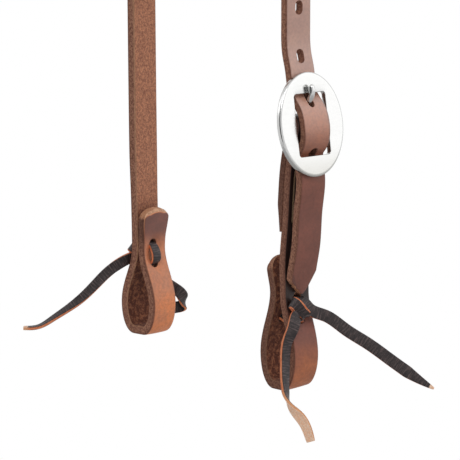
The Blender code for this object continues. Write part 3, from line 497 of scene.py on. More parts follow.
@dataclass
class Nodes:
    """A tree of nodes, added and joined by short calls."""

    tree: bpy.types.NodeTree

    def join(self, source: Socket | float | Colour, target: Socket) -> None:
        """Links a socket to another, or sets it to a plain value or to a display colour."""
        if isinstance(source, Socket):
            self.tree.links.new(source, target)
        else:
            target.default_value = linear(source) if isinstance(source, tuple) else source

    def add(self, kind: str, inputs: dict | None = None, **settings: str) -> bpy.types.bpy_prop_collection:
        """Adds a node with its options and its inputs, and gives its outputs.

        Args:
            kind: the node's type.
            inputs: a socket, a number or a display colour for each input, by its name or number.
            settings: the node's options.

        Returns:
            Its outputs.
        """
        made = self.tree.nodes.new(kind)
        for name, value in settings.items():
            setattr(made, name, value)
        for name, source in (inputs or {}).items():
            self.join(source, made.inputs[name])
        return made.outputs

    def sum(self, kind: str, first: Socket | float, second: Socket | float) -> Socket:
        """One operation on two values."""
        return self.add("ShaderNodeMath", {0: first, 1: second}, operation=kind)[0]


class Recipe(Nodes):
    """One material in the making."""

    def __init__(self, name: str) -> None:
        """Starts a material with its shader."""
        self.material = bpy.data.materials.new(name)
        self.material.use_nodes = True
        super().__init__(self.material.node_tree)
        self.shader = self.tree.nodes["Principled BSDF"]

    @cached_property
    def place(self) -> Socket:
        """The place in the piece's own frame."""
        return self.add("ShaderNodeTexCoord")["Object"]

    def split(self, vector: Socket) -> list[Socket]:
        """The three parts of a vector."""
        return list(self.add("ShaderNodeSeparateXYZ", {0: vector}))

    def map(self, name: str) -> tuple[Socket, Socket, Socket]:
        """A UV map as a whole and as its two parts."""
        whole = self.add("ShaderNodeUVMap", uv_map=name)["UV"]
        return whole, *self.split(whole)[:2]

    def stretched(self, vector: Socket, *scale: float) -> Socket:
        """A place scaled differently along each axis."""
        return self.add("ShaderNodeMapping", {"Vector": vector, "Scale": list(scale)})["Vector"]

    def noise(self, vector: Socket, scale: float, detail: float, rough: float) -> Socket:
        """A cloudy pattern about 0.5, with features about one part in scale of a metre."""
        inputs = {"Vector": vector, "Scale": scale, "Detail": detail, "Roughness": rough}
        return self.add("ShaderNodeTexNoise", inputs)["Fac"]

    def between(self, value: Socket, low: float, high: float, start: float = 0.0, end: float = 1.0) -> Socket:
        """A value's place from low to high, eased and clipped, as a value from start to end."""
        inputs = {"Value": value, "From Min": low, "From Max": high, "To Min": start, "To Max": end}
        return self.add("ShaderNodeMapRange", inputs, interpolation_type="SMOOTHSTEP")["Result"]

    def blended(self, share: Socket | float, first: Socket | Colour, second: Socket | Colour) -> Socket:
        """One colour turning into another as share goes from 0 to 1."""
        return self.add("ShaderNodeMix", {"Factor": share, 6: first, 7: second}, data_type="RGBA")[2]

    def blended_number(self, share: Socket, first: Socket | float, second: Socket) -> Socket:
        """One value turning into another as share goes from 0 to 1."""
        return self.add("ShaderNodeMix", {"Factor": share, "A": first, "B": second}, data_type="FLOAT")[0]

    def mixed(self, first: Socket, share: float, second: Socket, other: float) -> Socket:
        """Two values added up, each times its share."""
        return self.sum("ADD", self.sum("MULTIPLY", first, share), self.sum("MULTIPLY", second, other))

    def raised(self, *layers: tuple[Socket, float]) -> Socket:
        """A surface raised by each pattern times its depth, the first one lowest."""
        normal = {}
        for height, depth in layers:
            normal = {"Normal": self.add("ShaderNodeBump", {"Distance": depth, "Height": height, **normal})["Normal"]}
        return normal["Normal"]

    def finish(
        self, colour: Socket | Colour, rough: Socket | float, normal: Socket | None = None, **plain: float
    ) -> Material:
        """Joins the shader up.

        Args:
            colour: its base colour.
            rough: its roughness.
            normal: its raised surface.
            plain: shader sockets by name, underscores for spaces, set to plain numbers.

        Returns:
            The finished material.
        """
        self.join(colour, self.shader.inputs["Base Color"])
        self.join(rough, self.shader.inputs["Roughness"])
        if normal is not None:
            self.join(normal, self.shader.inputs["Normal"])
        for name, number in plain.items():
            self.shader.inputs[name.replace("_", " ")].default_value = number
        return self.material


@dataclass(frozen=True)
class GrainLeather:
    """The oiled grain side: fine pores, soft mottling, warmer where it is stretched and darker at its rim.

    It reads a pull from 0 to 1. Towards 2 the grain is pared away down to raw leather, and below 0 it is painted
    dark with the shadow of the strap that lies over it.
    by another strap and dark.
    """

    name: str = "leather_grain"
    body: Colour = (166, 116, 97)
    light: Colour = (184, 134, 112)
    warm: Colour = (238, 142, 86)
    # painted shade, with its lighter mottle below: the grain's colours where shade is painted by place
    painted_shade: Colour = (122, 72, 59)
    painted_shade_light: Colour = (138, 83, 69)
    rim: Colour = (86, 54, 47)
    # painted shadow, where another strap lies over the grain
    covered: Colour = (40, 24, 20)
    raw: Colour = (226, 176, 138)
    raw_dark: Colour = (192, 138, 106)

    @staticmethod
    def painted_shade_and_gloss(made: Recipe) -> tuple[Socket, Socket]:
        """How much shade is painted on the grain by place, and how much of its gloss is left.

        The shade is painted below the buckle on the near side, and on the off side above the tie. The gloss is that
        of the billet.

        Args:
            made: the material in the making.

        Returns:
            The share of the painted shade's colours, and the share of the gloss.
        """
        x, _, z = made.split(made.place)
        near = made.between(x, -10 * MM, 10 * MM)
        below = made.between(z, -346 * MM, -314 * MM, 1.0, 0.0)
        near_end = made.between(z, -372 * MM, -360 * MM, 1.0, 0.0)
        off = made.sum("MULTIPLY", made.between(z, -410 * MM, -397 * MM), near_end)
        dull = made.blended_number(near, 0.85, below)
        return made.blended_number(near, off, below), made.sum("SUBTRACT", 1.0, dull)

    def make(self) -> Material:
        """Builds the material."""
        made = Recipe(self.name)
        _, pull, rim = made.map("Wear")
        lay, _, _ = made.map("Lay")
        cloudy, specks = made.noise(made.place, 85, 4, 0.6), made.noise(made.place, 620, 3, 0.6)
        mottle = made.between(cloudy, 0.35, 0.7)
        painted_shade, gloss = self.painted_shade_and_gloss(made)
        fresh = made.blended(mottle, self.body, self.light)
        # painted shade by place, below the buckle on the near side and at the off loop's inner end
        colour = made.blended(painted_shade, fresh, made.blended(mottle, self.painted_shade, self.painted_shade_light))
        patchy = made.between(made.noise(made.place, 120, 4, 0.65), 0.3, 0.7, 0.7, 1.2)
        raw = made.between(pull, 1.05, 1.75)
        pulled = made.sum("MAXIMUM", made.sum("MINIMUM", pull, 1.0), 0.0)
        stretch = made.sum("MINIMUM", made.sum("MULTIPLY", pulled, patchy), 1.0)
        colour = made.blended(stretch, colour, self.warm)
        colour = made.blended(made.between(rim, 0.1 * MM, 1.0 * MM, 0.55, 0.0), colour, self.rim)
        colour = made.blended(made.between(specks, 0.35, 0.7, 0.0, 0.22), colour, self.rim)
        # painted shadow where pull is below 0: the near cheek's grain under the billet's tail
        colour = made.blended(made.between(pull, -1.0, 0.0, 1.0, 0.0), colour, self.covered)
        pared = made.blended(made.between(specks, 0.35, 0.65), self.raw_dark, self.raw)
        colour = made.blended(raw, colour, pared)
        pores = made.add("ShaderNodeTexVoronoi", {"Vector": made.place, "Scale": 1900}, feature="SMOOTH_F1")
        creases = made.noise(made.stretched(lay, 2600, 160, 1), 1.0, 3, 0.6)
        height = made.mixed(pores["Distance"], 0.5, creases, 0.5)
        wrinkles = made.sum("MULTIPLY", made.noise(made.stretched(lay, 1050, 150, 1), 1.0, 2, 0.5), pulled)
        normal = made.raised((wrinkles, 0.25 * MM), (specks, 0.08 * MM), (height, 0.06 * MM))
        covered = made.sum("SUBTRACT", 1.0, raw)
        made.join(made.sum("MULTIPLY", gloss, covered), made.shader.inputs["Coat Weight"])
        made.join(normal, made.shader.inputs["Coat Normal"])
        rough = made.between(cloudy, 0.3, 0.75, 0.42, 0.54)
        return made.finish(colour, rough, normal, Specular_IOR_Level=0.4, Coat_IOR=1.8, Coat_Roughness=0.36)


@dataclass(frozen=True)
class Suede:
    """The rough flesh side: short fibres, speckled light and dark, and painted shade inside the bit loops."""

    name: str = "leather_flesh"
    body: Colour = (202, 140, 113)
    pale: Colour = (244, 172, 130)
    dark: Colour = (134, 82, 66)
    # painted shade, with a paler mottle below, where the flesh lies inside the bit loops
    painted_shade: Colour = (103, 58, 44)
    painted_shade_pale: Colour = (176, 115, 84)

    def make(self) -> Material:
        """Builds the material."""
        made = Recipe(self.name)
        lay, _, _ = made.map("Lay")
        _, deep, _ = made.map("Wear")
        cloudy, specks = made.noise(made.place, 90, 4, 0.65), made.noise(made.place, 800, 5, 0.8)
        fibres = made.noise(made.stretched(lay, 1400, 2600, 1), 1.0, 4, 0.7)
        colour = made.blended(made.between(specks, 0.4, 0.62), self.dark, self.pale)
        colour = made.blended(0.4, colour, self.body)
        colour = made.blended(made.between(cloudy, 0.5, 0.8, 0.0, 0.35), colour, self.dark)
        tufts = made.noise(made.place, 420, 5, 0.8)
        # painted shade on the flesh as deep goes to 1
        painted_shade = made.blended(made.between(tufts, 0.45, 0.63), self.painted_shade, self.painted_shade_pale)
        colour = made.blended(deep, colour, painted_shade)
        normal = made.raised((specks, 0.3 * MM), (fibres, 0.25 * MM), (tufts, 0.5 * MM))
        return made.finish(colour, 0.92, normal, Specular_IOR_Level=0.15, Sheen_Weight=0.1)


@dataclass(frozen=True)
class CutEdge:
    """The knife's edge: mottled fibres with a paler line at the flesh, dark at the grain, tan where it is raw, and
    with shade painted where the wear map reads below 0.
    """

    name: str = "leather_edge"
    body: Colour = (176, 126, 102)
    pale: Colour = (206, 158, 122)
    dark: Colour = (106, 68, 56)
    shade: Colour = (72, 44, 37)
    raw: Colour = (206, 156, 122)
    raw_dark: Colour = (170, 114, 84)
    half: float = 2.25 * MM

    def make(self) -> Material:
        """Builds the material."""
        made = Recipe(self.name)
        lay, _, through = made.map("Lay")
        _, bare, _ = made.map("Wear")
        streaks = made.noise(made.stretched(lay, 520, 1500, 1), 1.0, 4, 0.7)
        mottled = made.mixed(streaks, 0.4, made.noise(made.place, 1000, 5, 0.75), 0.6)
        colour = made.blended(made.between(mottled, 0.4, 0.6), self.dark, self.body)
        line = made.between(through, -self.half, -0.72 * self.half, 0.4, 0.0)
        colour = made.blended(line, colour, self.pale)
        burnished = made.between(through, 0.3 * self.half, 0.8 * self.half, 0.0, 0.55)
        colour = made.blended(burnished, colour, self.dark)
        raw = made.blended(made.between(mottled, 0.4, 0.62), self.raw_dark, self.raw)
        colour = made.blended(made.sum("MAXIMUM", bare, 0.0), colour, raw)
        # painted shade on the edge where bare is below 0
        shaded = made.sum("MAXIMUM", made.sum("MULTIPLY", bare, -1.0), 0.0)
        colour = made.blended(shaded, colour, made.blended(0.35, self.shade, colour))
        return made.finish(colour, 0.85, made.raised((mottled, 0.3 * MM)), Specular_IOR_Level=0.25)


@dataclass(frozen=True)
class ThongFace:
    """The thong's dyed faces: nearly black, with fine creases across its length, and bare leather at a cut end."""

    name: str = "thong_face"
    body: Colour = (38, 30, 31)
    light: Colour = (116, 98, 96)
    bare: Colour = (255, 220, 192)
    bare_dark: Colour = (255, 200, 164)

    def make(self) -> Material:
        """Builds the material."""
        made = Recipe(self.name)
        lay, _, _ = made.map("Lay")
        _, bared, _ = made.map("Wear")
        creases = made.noise(made.stretched(lay, 1300, 130, 1), 1.0, 4, 0.65)
        specks = made.noise(made.place, 900, 3, 0.6)
        colour = made.blended(made.between(creases, 0.45, 0.72, 0.0, 0.8), self.body, self.light)
        bare = made.blended(made.between(specks, 0.35, 0.65), self.bare_dark, self.bare)
        frayed = made.sum("ADD", bared, made.between(specks, 0.3, 0.7, -0.25, 0.25))
        colour = made.blended(made.between(frayed, 0.4, 0.6), colour, bare)
        normal = made.raised((specks, 0.08 * MM), (creases, 0.2 * MM))
        return made.finish(colour, 0.44, normal, Specular_IOR_Level=0.34)


@dataclass(frozen=True)
class ThongEdge:
    """The thong's undyed cut edge, palest where its end is cut."""

    name: str = "thong_edge"
    body: Colour = (246, 160, 114)
    dark: Colour = (210, 116, 78)
    tip: Colour = (240, 196, 150)

    def make(self) -> Material:
        """Builds the material."""
        made = Recipe(self.name)
        lay, _, _ = made.map("Lay")
        _, bared, _ = made.map("Wear")
        streaks = made.noise(made.stretched(lay, 380, 1800, 1), 1.0, 3, 0.6)
        colour = made.blended(made.between(streaks, 0.35, 0.65), self.dark, self.body)
        colour = made.blended(made.sum("MULTIPLY", bared, 0.8), colour, self.tip)
        normal = made.raised((made.noise(made.place, 1300, 3, 0.6), 0.12 * MM))
        return made.finish(colour, 0.8, normal, Specular_IOR_Level=0.25)


@dataclass(frozen=True)
class SatinSteel:
    """Stainless steel with a fine satin polish, and a darker colour painted low down, where its reflection dims."""

    name: str = "satin_steel"
    body: Colour = (198, 198, 197)
    # painted shade: the darker colour low on the plate, for the reflection that dims there
    dull: Colour = (183, 182, 178)
    rough: float = 0.2

    def make(self) -> Material:
        """Builds the material."""
        made = Recipe(self.name)
        brushed = made.noise(made.stretched(made.place, 900, 260, 900), 1.0, 3, 0.6)
        rough = made.between(brushed, 0.3, 0.7, self.rough - 0.03, self.rough + 0.04)
        # painted shade, darker towards the plate's bottom
        low = made.between(made.split(made.place)[2], -352 * MM, -336 * MM)
        colour = made.blended(low, self.dull, self.body)
        return made.finish(colour, rough, made.raised((brushed, 0.004 * MM)), Metallic=1.0)


@dataclass(frozen=True)
class WaxedThread:
    """Waxed linen thread laid in three plies."""

    name: str = "waxed_thread"
    body: Colour = (150, 124, 94)
    dark: Colour = (92, 70, 52)

    def make(self) -> Material:
        """Builds the material."""
        made = Recipe(self.name)
        _, far, round_far = made.map("Lay")
        wave = made.sum("SINE", made.mixed(far, 5200.0, round_far, 6600.0), 0.0)
        plies = made.sum("ADD", made.sum("MULTIPLY", wave, 0.5), 0.5)
        colour = made.blended(plies, self.dark, self.body)
        return made.finish(colour, 0.6, made.raised((plies, 0.08 * MM)), Specular_IOR_Level=0.4)


@dataclass
class Finishes:
    """Every finish of the headstall, made once, and a piece's slots in the order of Zone."""

    grain: Material = field(default_factory=GrainLeather().make)
    flesh: Material = field(default_factory=Suede().make)
    edge: Material = field(default_factory=CutEdge().make)
    thong: Material = field(default_factory=ThongFace().make)
    thong_edge: Material = field(default_factory=ThongEdge().make)
    steel: Material = field(default_factory=SatinSteel().make)
    thread: Material = field(default_factory=WaxedThread().make)

    def __post_init__(self) -> None:
        """Sets out the slots of straps, thongs, metal and thread."""
        self.leather = [self.grain, self.flesh, self.edge]
        self.lace = [self.thong, self.thong, self.thong_edge]
        self.metal, self.sewing = [self.steel] * 3, [self.thread] * 3


# The headstall's own sizes


@dataclass(frozen=True)
class Stock:
    """The strap leather that everything is cut from."""

    width: float = 16.5 * MM
    thickness: float = 4.5 * MM
    grain_ease: float = 0.8 * MM
    flesh_ease: float = 0.6 * MM
    gap: float = 0.3 * MM
    spacing: float = 1.0 * MM


STOCK = Stock()


@dataclass(frozen=True)
class BitLoop:
    """One bit loop: two layers pinched together above a round belly with a flat bottom."""

    side: int
    reach: float
    bottom: float
    belly_depth: float
    belly_rise: float
    pinch_gap: float
    pinch_rise: float
    end_rise: float
    tie_rise: float
    seat: float = 7 * MM
    hole: float = 5.2 * MM
    hole_pitch: float = 10.5 * MM
    tie_beside: float = 0.0

    def path(self) -> Points:
        """(x, z) points down the outer layer, round the flat seat and up the inner layer to the end.

        Half the distance between the layers is half a cosine wave from the belly up to the pinch. Below the
        belly's widest place, each side is a quarter of an ellipse down to the seat.
        """
        pinch, belly = (self.pinch_gap + STOCK.thickness) / 2, (self.belly_depth - STOCK.thickness) / 2
        rises = np.linspace(self.pinch_rise, self.belly_rise, 160)
        share = np.clip((rises - self.belly_rise) / (self.pinch_rise - self.belly_rise), 0, 1)
        upper = np.stack([pinch + (belly - pinch) * (0.5 + 0.5 * np.cos(math.pi * share)), rises], -1)
        angles = np.linspace(0, QUARTER, 120)
        seat = self.seat / 2
        lower = np.stack([seat + (belly - seat) * np.cos(angles), self.belly_rise * (1 - np.sin(angles))], -1)
        down = end_to_end(upper, lower)
        rises = np.linspace(self.pinch_rise, self.end_rise, 90)
        end = np.stack([np.full(len(rises), upper[0, 0]), rises], -1)
        back = end_to_end(down[::-1], end) * [-1, 1]
        return end_to_end(down, back) * [self.side, 1] + [self.side * self.reach, -self.bottom]

    def layers(self) -> tuple[Points, Points]:
        """The loop's path down its outer layer and up its inner one."""
        path = self.path()
        lowest = int(np.argmin(path[:, 1]))
        return path[:lowest], path[lowest:]

    def tie_place(self, layer: Points, share: float = 0.0) -> tuple[Points, Points, float]:
        """A layer's point near the tie's middle or a share of the holes' pitch above, its heading and its height."""
        height = -self.bottom + self.tie_rise + share * self.hole_pitch
        i = int(np.argmin(np.abs(layer[:, 1] - height)))
        return layer[i], unit(layer[i + 1] - layer[i - 1]), height


@dataclass(frozen=True)
class Crown:
    """The half of the strap over the poll, from its middle down to the shoulder."""

    flat: float = 20 * MM
    bend: float = 48 * MM
    leg: float = 6 * MM
    blend: float = 11 * MM

    @property
    def reach(self) -> float:
        """The shoulder's distance from the middle."""
        return self.flat / 2 + self.bend

    @property
    def shoulder(self) -> float:
        """The shoulder's drop below the crown's underside."""
        return self.bend + self.leg + STOCK.gap

    def path(self, side: int) -> Points:
        """(x, z) points from the middle, level and then round a quarter circle, down to the shoulder."""
        top = STOCK.thickness / 2
        over = arc_points((self.flat / 2, top - self.bend), self.bend, 90, 0, 0.3 * MM)
        down = np.array([[self.reach, top - self.bend], [self.reach, -self.shoulder]])
        return end_to_end(np.array([[0, top], [self.flat / 2, top]]), over, down) * [side, 1]


@dataclass(frozen=True)
class Plate:
    """The oval buckle plate and the bar behind it."""

    reach: float = 73.5 * MM
    drop: float = 325.8 * MM
    tilt: float = 9.0
    width: float = 43.0 * MM
    height: float = 53.4 * MM
    thickness: float = 3.0 * MM
    bevel: float = 1.0 * MM
    window_width: float = 21.1 * MM
    window_height: float = 31.9 * MM
    window_corner: float = 1.6 * MM
    bar: float = 4.0 * MM
    standoff: float = 4.7 * MM
    lug_width: float = 8.0 * MM
    lug_thickness: float = 2.6 * MM
    lug_inner: float = 11.35 * MM

    def at(self, rise: Points | float, level: Points | float) -> Points:
        """The (x, z) point at a rise along the plate and a level out from its front face."""
        tilt = math.radians(self.tilt)
        x = self.reach - rise * math.sin(tilt) + level * math.cos(tilt)
        z = -self.drop + rise * math.cos(tilt) + level * math.sin(tilt)
        return np.stack([x, z], -1)

    @property
    def bar_level(self) -> float:
        """The bar's level behind the plate's front face."""
        return -self.thickness - self.standoff

    @property
    def bar_place(self) -> Points:
        """The bar's (x, z) place."""
        return self.at(0.0, self.bar_level)


CROWN = Crown()
PLATE = Plate()
NEAR_LOOP = BitLoop(1, *np.multiply(MM, (56.2, 462.3, 26.9, 16.0, 3.1, 49.0, 66.8, 40.0)).tolist())
OFF_LOOP = BitLoop(
    -1, *np.multiply(MM, (56.9, 449.6, 25.0, 14.2, 0.3, 44.5, 65.6, 41.2)).tolist(), tie_beside=-0.9 * MM
)
PRESSED = {1: 0.75 * MM, -1: 1.4 * MM}


# Straps


@dataclass(frozen=True)
class StrapEnd:
    """How a loop's end is finished: half round in plan, with a raw slope cut round it on the grain side."""

    rounding: float = 5.4 * MM
    squareness: float = 2.15
    slope: float = 1.75 * MM
    drop: float = 1.6 * MM
    side_slope: float = 0.5 * MM
    spread: float = 1.2 * MM
    fade: float = 14 * MM
    flare: float = 2.8 * MM
    flare_length: float = 26 * MM
    bare: float = 1.0


@dataclass
class Strap:
    """What every strap shares: a middle line in the X-Z plane, and a cut carried along it."""

    side: int

    def frame_along(self, flat: Points) -> tuple[Points, Points, Points]:
        """The line in space, the direction of its width and the way its grain faces, square to the line."""
        out = -self.side * beside(headings(flat))
        return in_space(flat), np.tile(Y_WAY, (len(flat), 1)), in_space(out)

    @staticmethod
    def plain_cut(widths: Points, halves: Points) -> Cut:
        """A cut with eased corners at every station, smaller where the leather is thin."""
        small = np.minimum(1.0, halves / (STOCK.thickness / 2))
        grain = STOCK.grain_ease * small
        return Cut(widths / 2, widths / 2, halves, grain, STOCK.grain_ease * 0.8 * small, STOCK.flesh_ease * small)


@dataclass
class LoopStrap(Strap):
    """A strap that ends in a bit loop, with its end rounded and its grain pressed in by the tie."""

    loop: BitLoop
    end: StrapEnd = StrapEnd()
    pressed_width: float = 3.8 * MM
    pressed_reach: float = 20 * MM

    def line(self, whole: Points, step: float) -> Points:
        """The strap's stations: its end leans off the loop's other layer, by the square of the way along.

        They are even, and closer where the end's two rounded outlines run across the strap.

        Args:
            whole: the strap's middle line, closely spaced.
            step: the spacing away from the end.

        Returns:
            An (x, z) point for each station.
        """
        end = self.end
        left = far_along(whole)[-1] - far_along(whole)
        share = np.clip(1 - left / end.flare_length, 0, 1)
        whole = whole + np.stack([-self.side * end.flare * share**2, np.zeros(len(whole))], -1)
        length = far_along(whole)[-1]
        round_off = end.rounding * (1 - np.sin(np.radians(np.linspace(0, 87, 22))))
        left = np.concatenate([round_off, round_off + end.slope, np.linspace(0.1 * MM, end.slope, 7)])
        even = np.linspace(0, length, round(length / step) + 1)
        far = np.sort(np.concatenate([even[even < length - end.rounding - end.slope], length - left]))
        return read_at(whole, far[np.concatenate([[True], np.diff(far) > 0.06 * MM])])

    def round_end(self, far: Points, cut: Cut) -> tuple[Points, Points, Points]:
        """Rounds the last of a cut in plan: half an ellipse with squarer corners, a little wider than the strap.

        Args:
            far: the distance along at each station.
            cut: the cut to finish.

        Returns:
            At each station: how near the end it is, the half width there and the share of the rounding used up.
        """
        end = self.end
        left = far[-1] - far + 0.02 * MM
        reach = ease(1 - (left - end.rounding) / end.fade)
        broad = cut.left + end.spread * reach
        short = np.clip(1 - left / end.rounding, 0, 1)
        cut.left = broad * (1 - short**end.squareness) ** (1 / end.squareness)
        cut.right = cut.left.copy()
        cut.flesh_ease = np.minimum(cut.flesh_ease, cut.left * 0.5)
        cut.grain_across = np.minimum(cut.grain_across, cut.left * 0.5)
        return reach, broad, short

    def pare(self, skin: Skin, out: Points, cut: Cut, ending: tuple[Points, Points, Points]) -> None:
        """Slopes the grain side down to the end's outline and shows it raw.

        With u the share of the rounding used up and v the place across as a share of the half width, the outline
        is where q = (uᵖ + vᵖ)^(1/p) is 1. The slope goes from 0 at its own width inside that to 1 there, and that
        width turns from the end's to the side's with the share of uᵖ in qᵖ.

        Args:
            skin: the strap's surface, which is changed.
            out: the way that the grain faces at each station.
            cut: the shape across the strap at each station.
            ending: what round_end returned.
        """
        end = self.end
        reach, broad, short = (row[:, None] for row in ending)
        across, through, _ = cut.outline()
        u, v = short**end.squareness, np.clip(np.abs(across) / broad, 0, 1) ** end.squareness
        inside = 1 - (u + v) ** (1 / end.squareness)
        ahead = np.clip(2.2 * u / (u + v + 1e-9), 0, 1)
        steep = end.rounding / end.slope * ahead + broad / end.side_slope * (1 - ahead)
        share = np.clip(1 - inside * steep, 0, 1) * reach
        upper = np.clip(through / cut.half[:, None], 0, 1)
        skin.places -= out[:, None] * (end.drop * share * upper)[..., None]
        tip = flat_values(np.clip(4 * ending[2], 0, 1), across.shape[1])
        for zone, bare, shown in (
            (Zone.GRAIN, 2 * end.bare, round_values(np.clip(3 * share, 0, 1))), (Zone.EDGE, end.bare, tip),
        ):
            worn = skin.wear[..., 0]
            skin.wear[..., 0] = np.where((skin.zones == zone)[..., None], worn + (bare - worn) * shown, worn)

    def press(self, skin: Skin, out: Points, cut: Cut) -> None:
        """Presses the grain in between the two tie holes, where the thong is pulled tight.

        The depth is a bell over the distance from the line between the holes, and it fades through the leather.

        Args:
            skin: the strap's surface, which is changed.
            out: the way that the grain faces at each station.
            cut: the shape across the strap at each station.
        """
        loop = self.loop
        through = np.clip(0.5 + cut.outline()[1] / (2 * cut.half[:, None]), 0, 1)
        y, z = skin.places[..., 1] - loop.tie_beside, skin.places[..., 2]
        off_middle = np.abs(z - (-loop.bottom + loop.tie_rise))
        far = np.hypot(y, np.maximum(off_middle - loop.hole_pitch / 2, 0))
        outer = (np.arange(len(out)) < int(np.argmin(z.min(1))))[:, None]
        depth = np.where(outer, PRESSED[1], PRESSED[-1]) * bell(far, self.pressed_width)
        skin.places -= out[:, None] * (depth * (off_middle < self.pressed_reach) * through)[..., None]

    def skin(self, flat: Points, cut: Cut, looks: Looks, ending: tuple[Points, Points, Points]) -> Skin:
        """The strap's surface, with its end pared and its grain pressed in at the tie.

        Args:
            flat: the strap's (x, z) stations.
            cut: the shape across the strap at each station.
            looks: what its finish reads.
            ending: what round_end returned.

        Returns:
            The surface, ready to build.
        """
        path, across, out = self.frame_along(flat)
        made = carry(path, across, out, cut, looks)
        self.pare(made, out, cut, ending)
        self.press(made, out, cut)
        return made

    def tie_holes(self, finishes: Finishes, bend: Bend | None = None) -> list[Object]:
        """The two round punches through both layers of the loop.

        Args:
            finishes: the headstall's finishes.
            bend: a function that bends points in space, or None.

        Returns:
            A closed object per layer and hole.
        """
        made = []
        for layer in self.loop.layers():
            for share in (0.5, -0.5):
                point, heading, _ = self.loop.tie_place(layer, share)
                skin = Punch(
                    circle(all_round(28), self.loop.hole / 2), in_space(point, self.loop.tie_beside),
                    in_space(heading), Y_WAY, in_space(beside(heading)), flare=0.9 * MM,
                ).skin()
                skin.places = bend(skin.places) if bend else skin.places
                made.append(skin.build("hole", finishes.leather))
        return made


CHEEK_TURN = math.radians(6.0)
CHEEK_TURN_SPAN = (80, 160)
CHEEK_AXIS = 59 * MM


def turned(places: Points) -> Points:
    """Points of the off cheek, turned a few degrees about its own length below the split ear."""
    angle = CHEEK_TURN * ramp(-places[..., 2], *CHEEK_TURN_SPAN)
    x, y = places[..., 0] + CHEEK_AXIS, places[..., 1]
    across = np.cos(angle) * x - np.sin(angle) * y - CHEEK_AXIS
    return np.stack([across, np.sin(angle) * x + np.cos(angle) * y, places[..., 2]], -1)


@dataclass
class OffStrap(LoopStrap):
    """Crown, split ear, off cheek and off bit loop, in one piece of leather."""

    side: int = -1
    loop: BitLoop = OFF_LOOP
    spread: float = 61.4 * MM
    lower_spread: float = 59.7 * MM
    bow_drop: float = 150 * MM
    lower_rise: float = 20.1 * MM
    ear_width: float = 46 * MM
    ear_opening: float = 19 * MM
    ear_length: float = 124 * MM
    ear_shoulder: float = 30 * MM
    ear_fullness: float = 1.6
    ear_drop: float = 152 * MM
    stouter: float = 0.5 * MM
    stout_from: Span = (60, 50)
    stout_to: Span = (-382, 30)
    stout_widening: float = 1.4
    bulge: float = 1.2 * MM
    bulge_drop: float = 433 * MM
    bulge_length: float = 9 * MM
    pulled: tuple = ((0.62, 394, 14), (0.38, 425, 18))
    # the flesh's painted shade: this share everywhere, rising to all of it inside the bit loop
    pale: float = 0.15
    painted_shade_from: Span = (375, 25)
    # below 0: painted shade on the inner layer's cut edge near its end
    raw: float = -0.9
    edge_shade_from: Span = (-410, 14)
    stations_down: int = 400

    def path(self) -> Points:
        """(x, z) points from the crown's middle to the end inside the loop."""
        loop = self.loop.path()
        low = loop[0, 1] + self.lower_rise
        cheek = smooth_curve(
            np.array([
                (-CROWN.reach, -CROWN.shoulder), (-self.spread, -self.bow_drop),
                (-self.spread, (low - self.bow_drop) / 2), (-self.lower_spread, low), loop[0],
            ]),
            (0, -1), (0, -1), 0.4 * MM,
        )
        return self.line(end_to_end(CROWN.path(-1), cheek, loop), STOCK.spacing)

    def ear(self) -> Skin:
        """The ear's slit on a straight strap: two bows that meet at its ends, as a cosine to the power 0.8."""
        rises = np.linspace(-0.5, 0.5, 61) * self.ear_length
        bow = self.ear_opening / 2 * np.clip(np.cos(math.pi * rises / self.ear_length), 0, 1) ** 0.8
        bow = np.maximum(bow, self.ear_opening / 20)
        outline = np.concatenate([np.stack([rises, bow], -1), np.stack([rises, -bow], -1)[::-1]])
        return Punch(outline, -self.ear_drop * Z_WAY, Z_WAY, Y_WAY, X_WAY, flare=0.6 * MM).skin()

    def build(self, finishes: Finishes) -> Object:
        """Builds the strap with its slit and its two tie holes.

        Args:
            finishes: the headstall's finishes.

        Returns:
            The finished piece.
        """
        flat = self.path()
        far, z = far_along(flat), flat[:, 1]
        reach = self.ear_length / 2 + self.ear_shoulder
        spread = ease(self.ear_fullness * (1 - np.abs(z + self.ear_drop) / reach))
        spread = np.where(far < far[-1] / 2, spread, 0)
        stout = self.stouter * ramp(-z, *self.stout_from) * ramp(z, *self.stout_to)
        cut = self.plain_cut(STOCK.width + (self.ear_width - STOCK.width) * spread, (STOCK.thickness + stout) / 2)
        ending = self.round_end(far, cut)
        past = np.arange(len(far)) - int(np.argmin(z))
        cut.left = cut.left + self.stout_widening * (stout / 2)
        cut.right = cut.right + self.bulge * bell(z + self.bulge_drop, self.bulge_length) * (past < 0)
        pull = sum(share * ramp(-z, *span) for share, *span in self.pulled)
        # painted shade on the flesh, full from the loop's top down
        deep = self.pale + (1 - self.pale) * ramp(-z, *self.painted_shade_from)
        # painted shade on the inner layer's cut edge above the tie
        looks = Looks(pull, deep, self.raw * ramp(z, *self.edge_shade_from) * (past > 0))
        skin = self.skin(flat, cut, looks, ending)
        skin.places = turned(skin.places)
        piece = skin.build("off_strap", finishes.leather)
        down = slice(0, self.stations_down)
        ear = self.ear()
        ear.places[..., 0] += np.interp(-ear.places[..., 2], -z[down], flat[down, 0])
        ear.places = turned(ear.places)
        punched(piece, [ear.build("ear", finishes.leather), *self.tie_holes(finishes, turned)])
        return piece


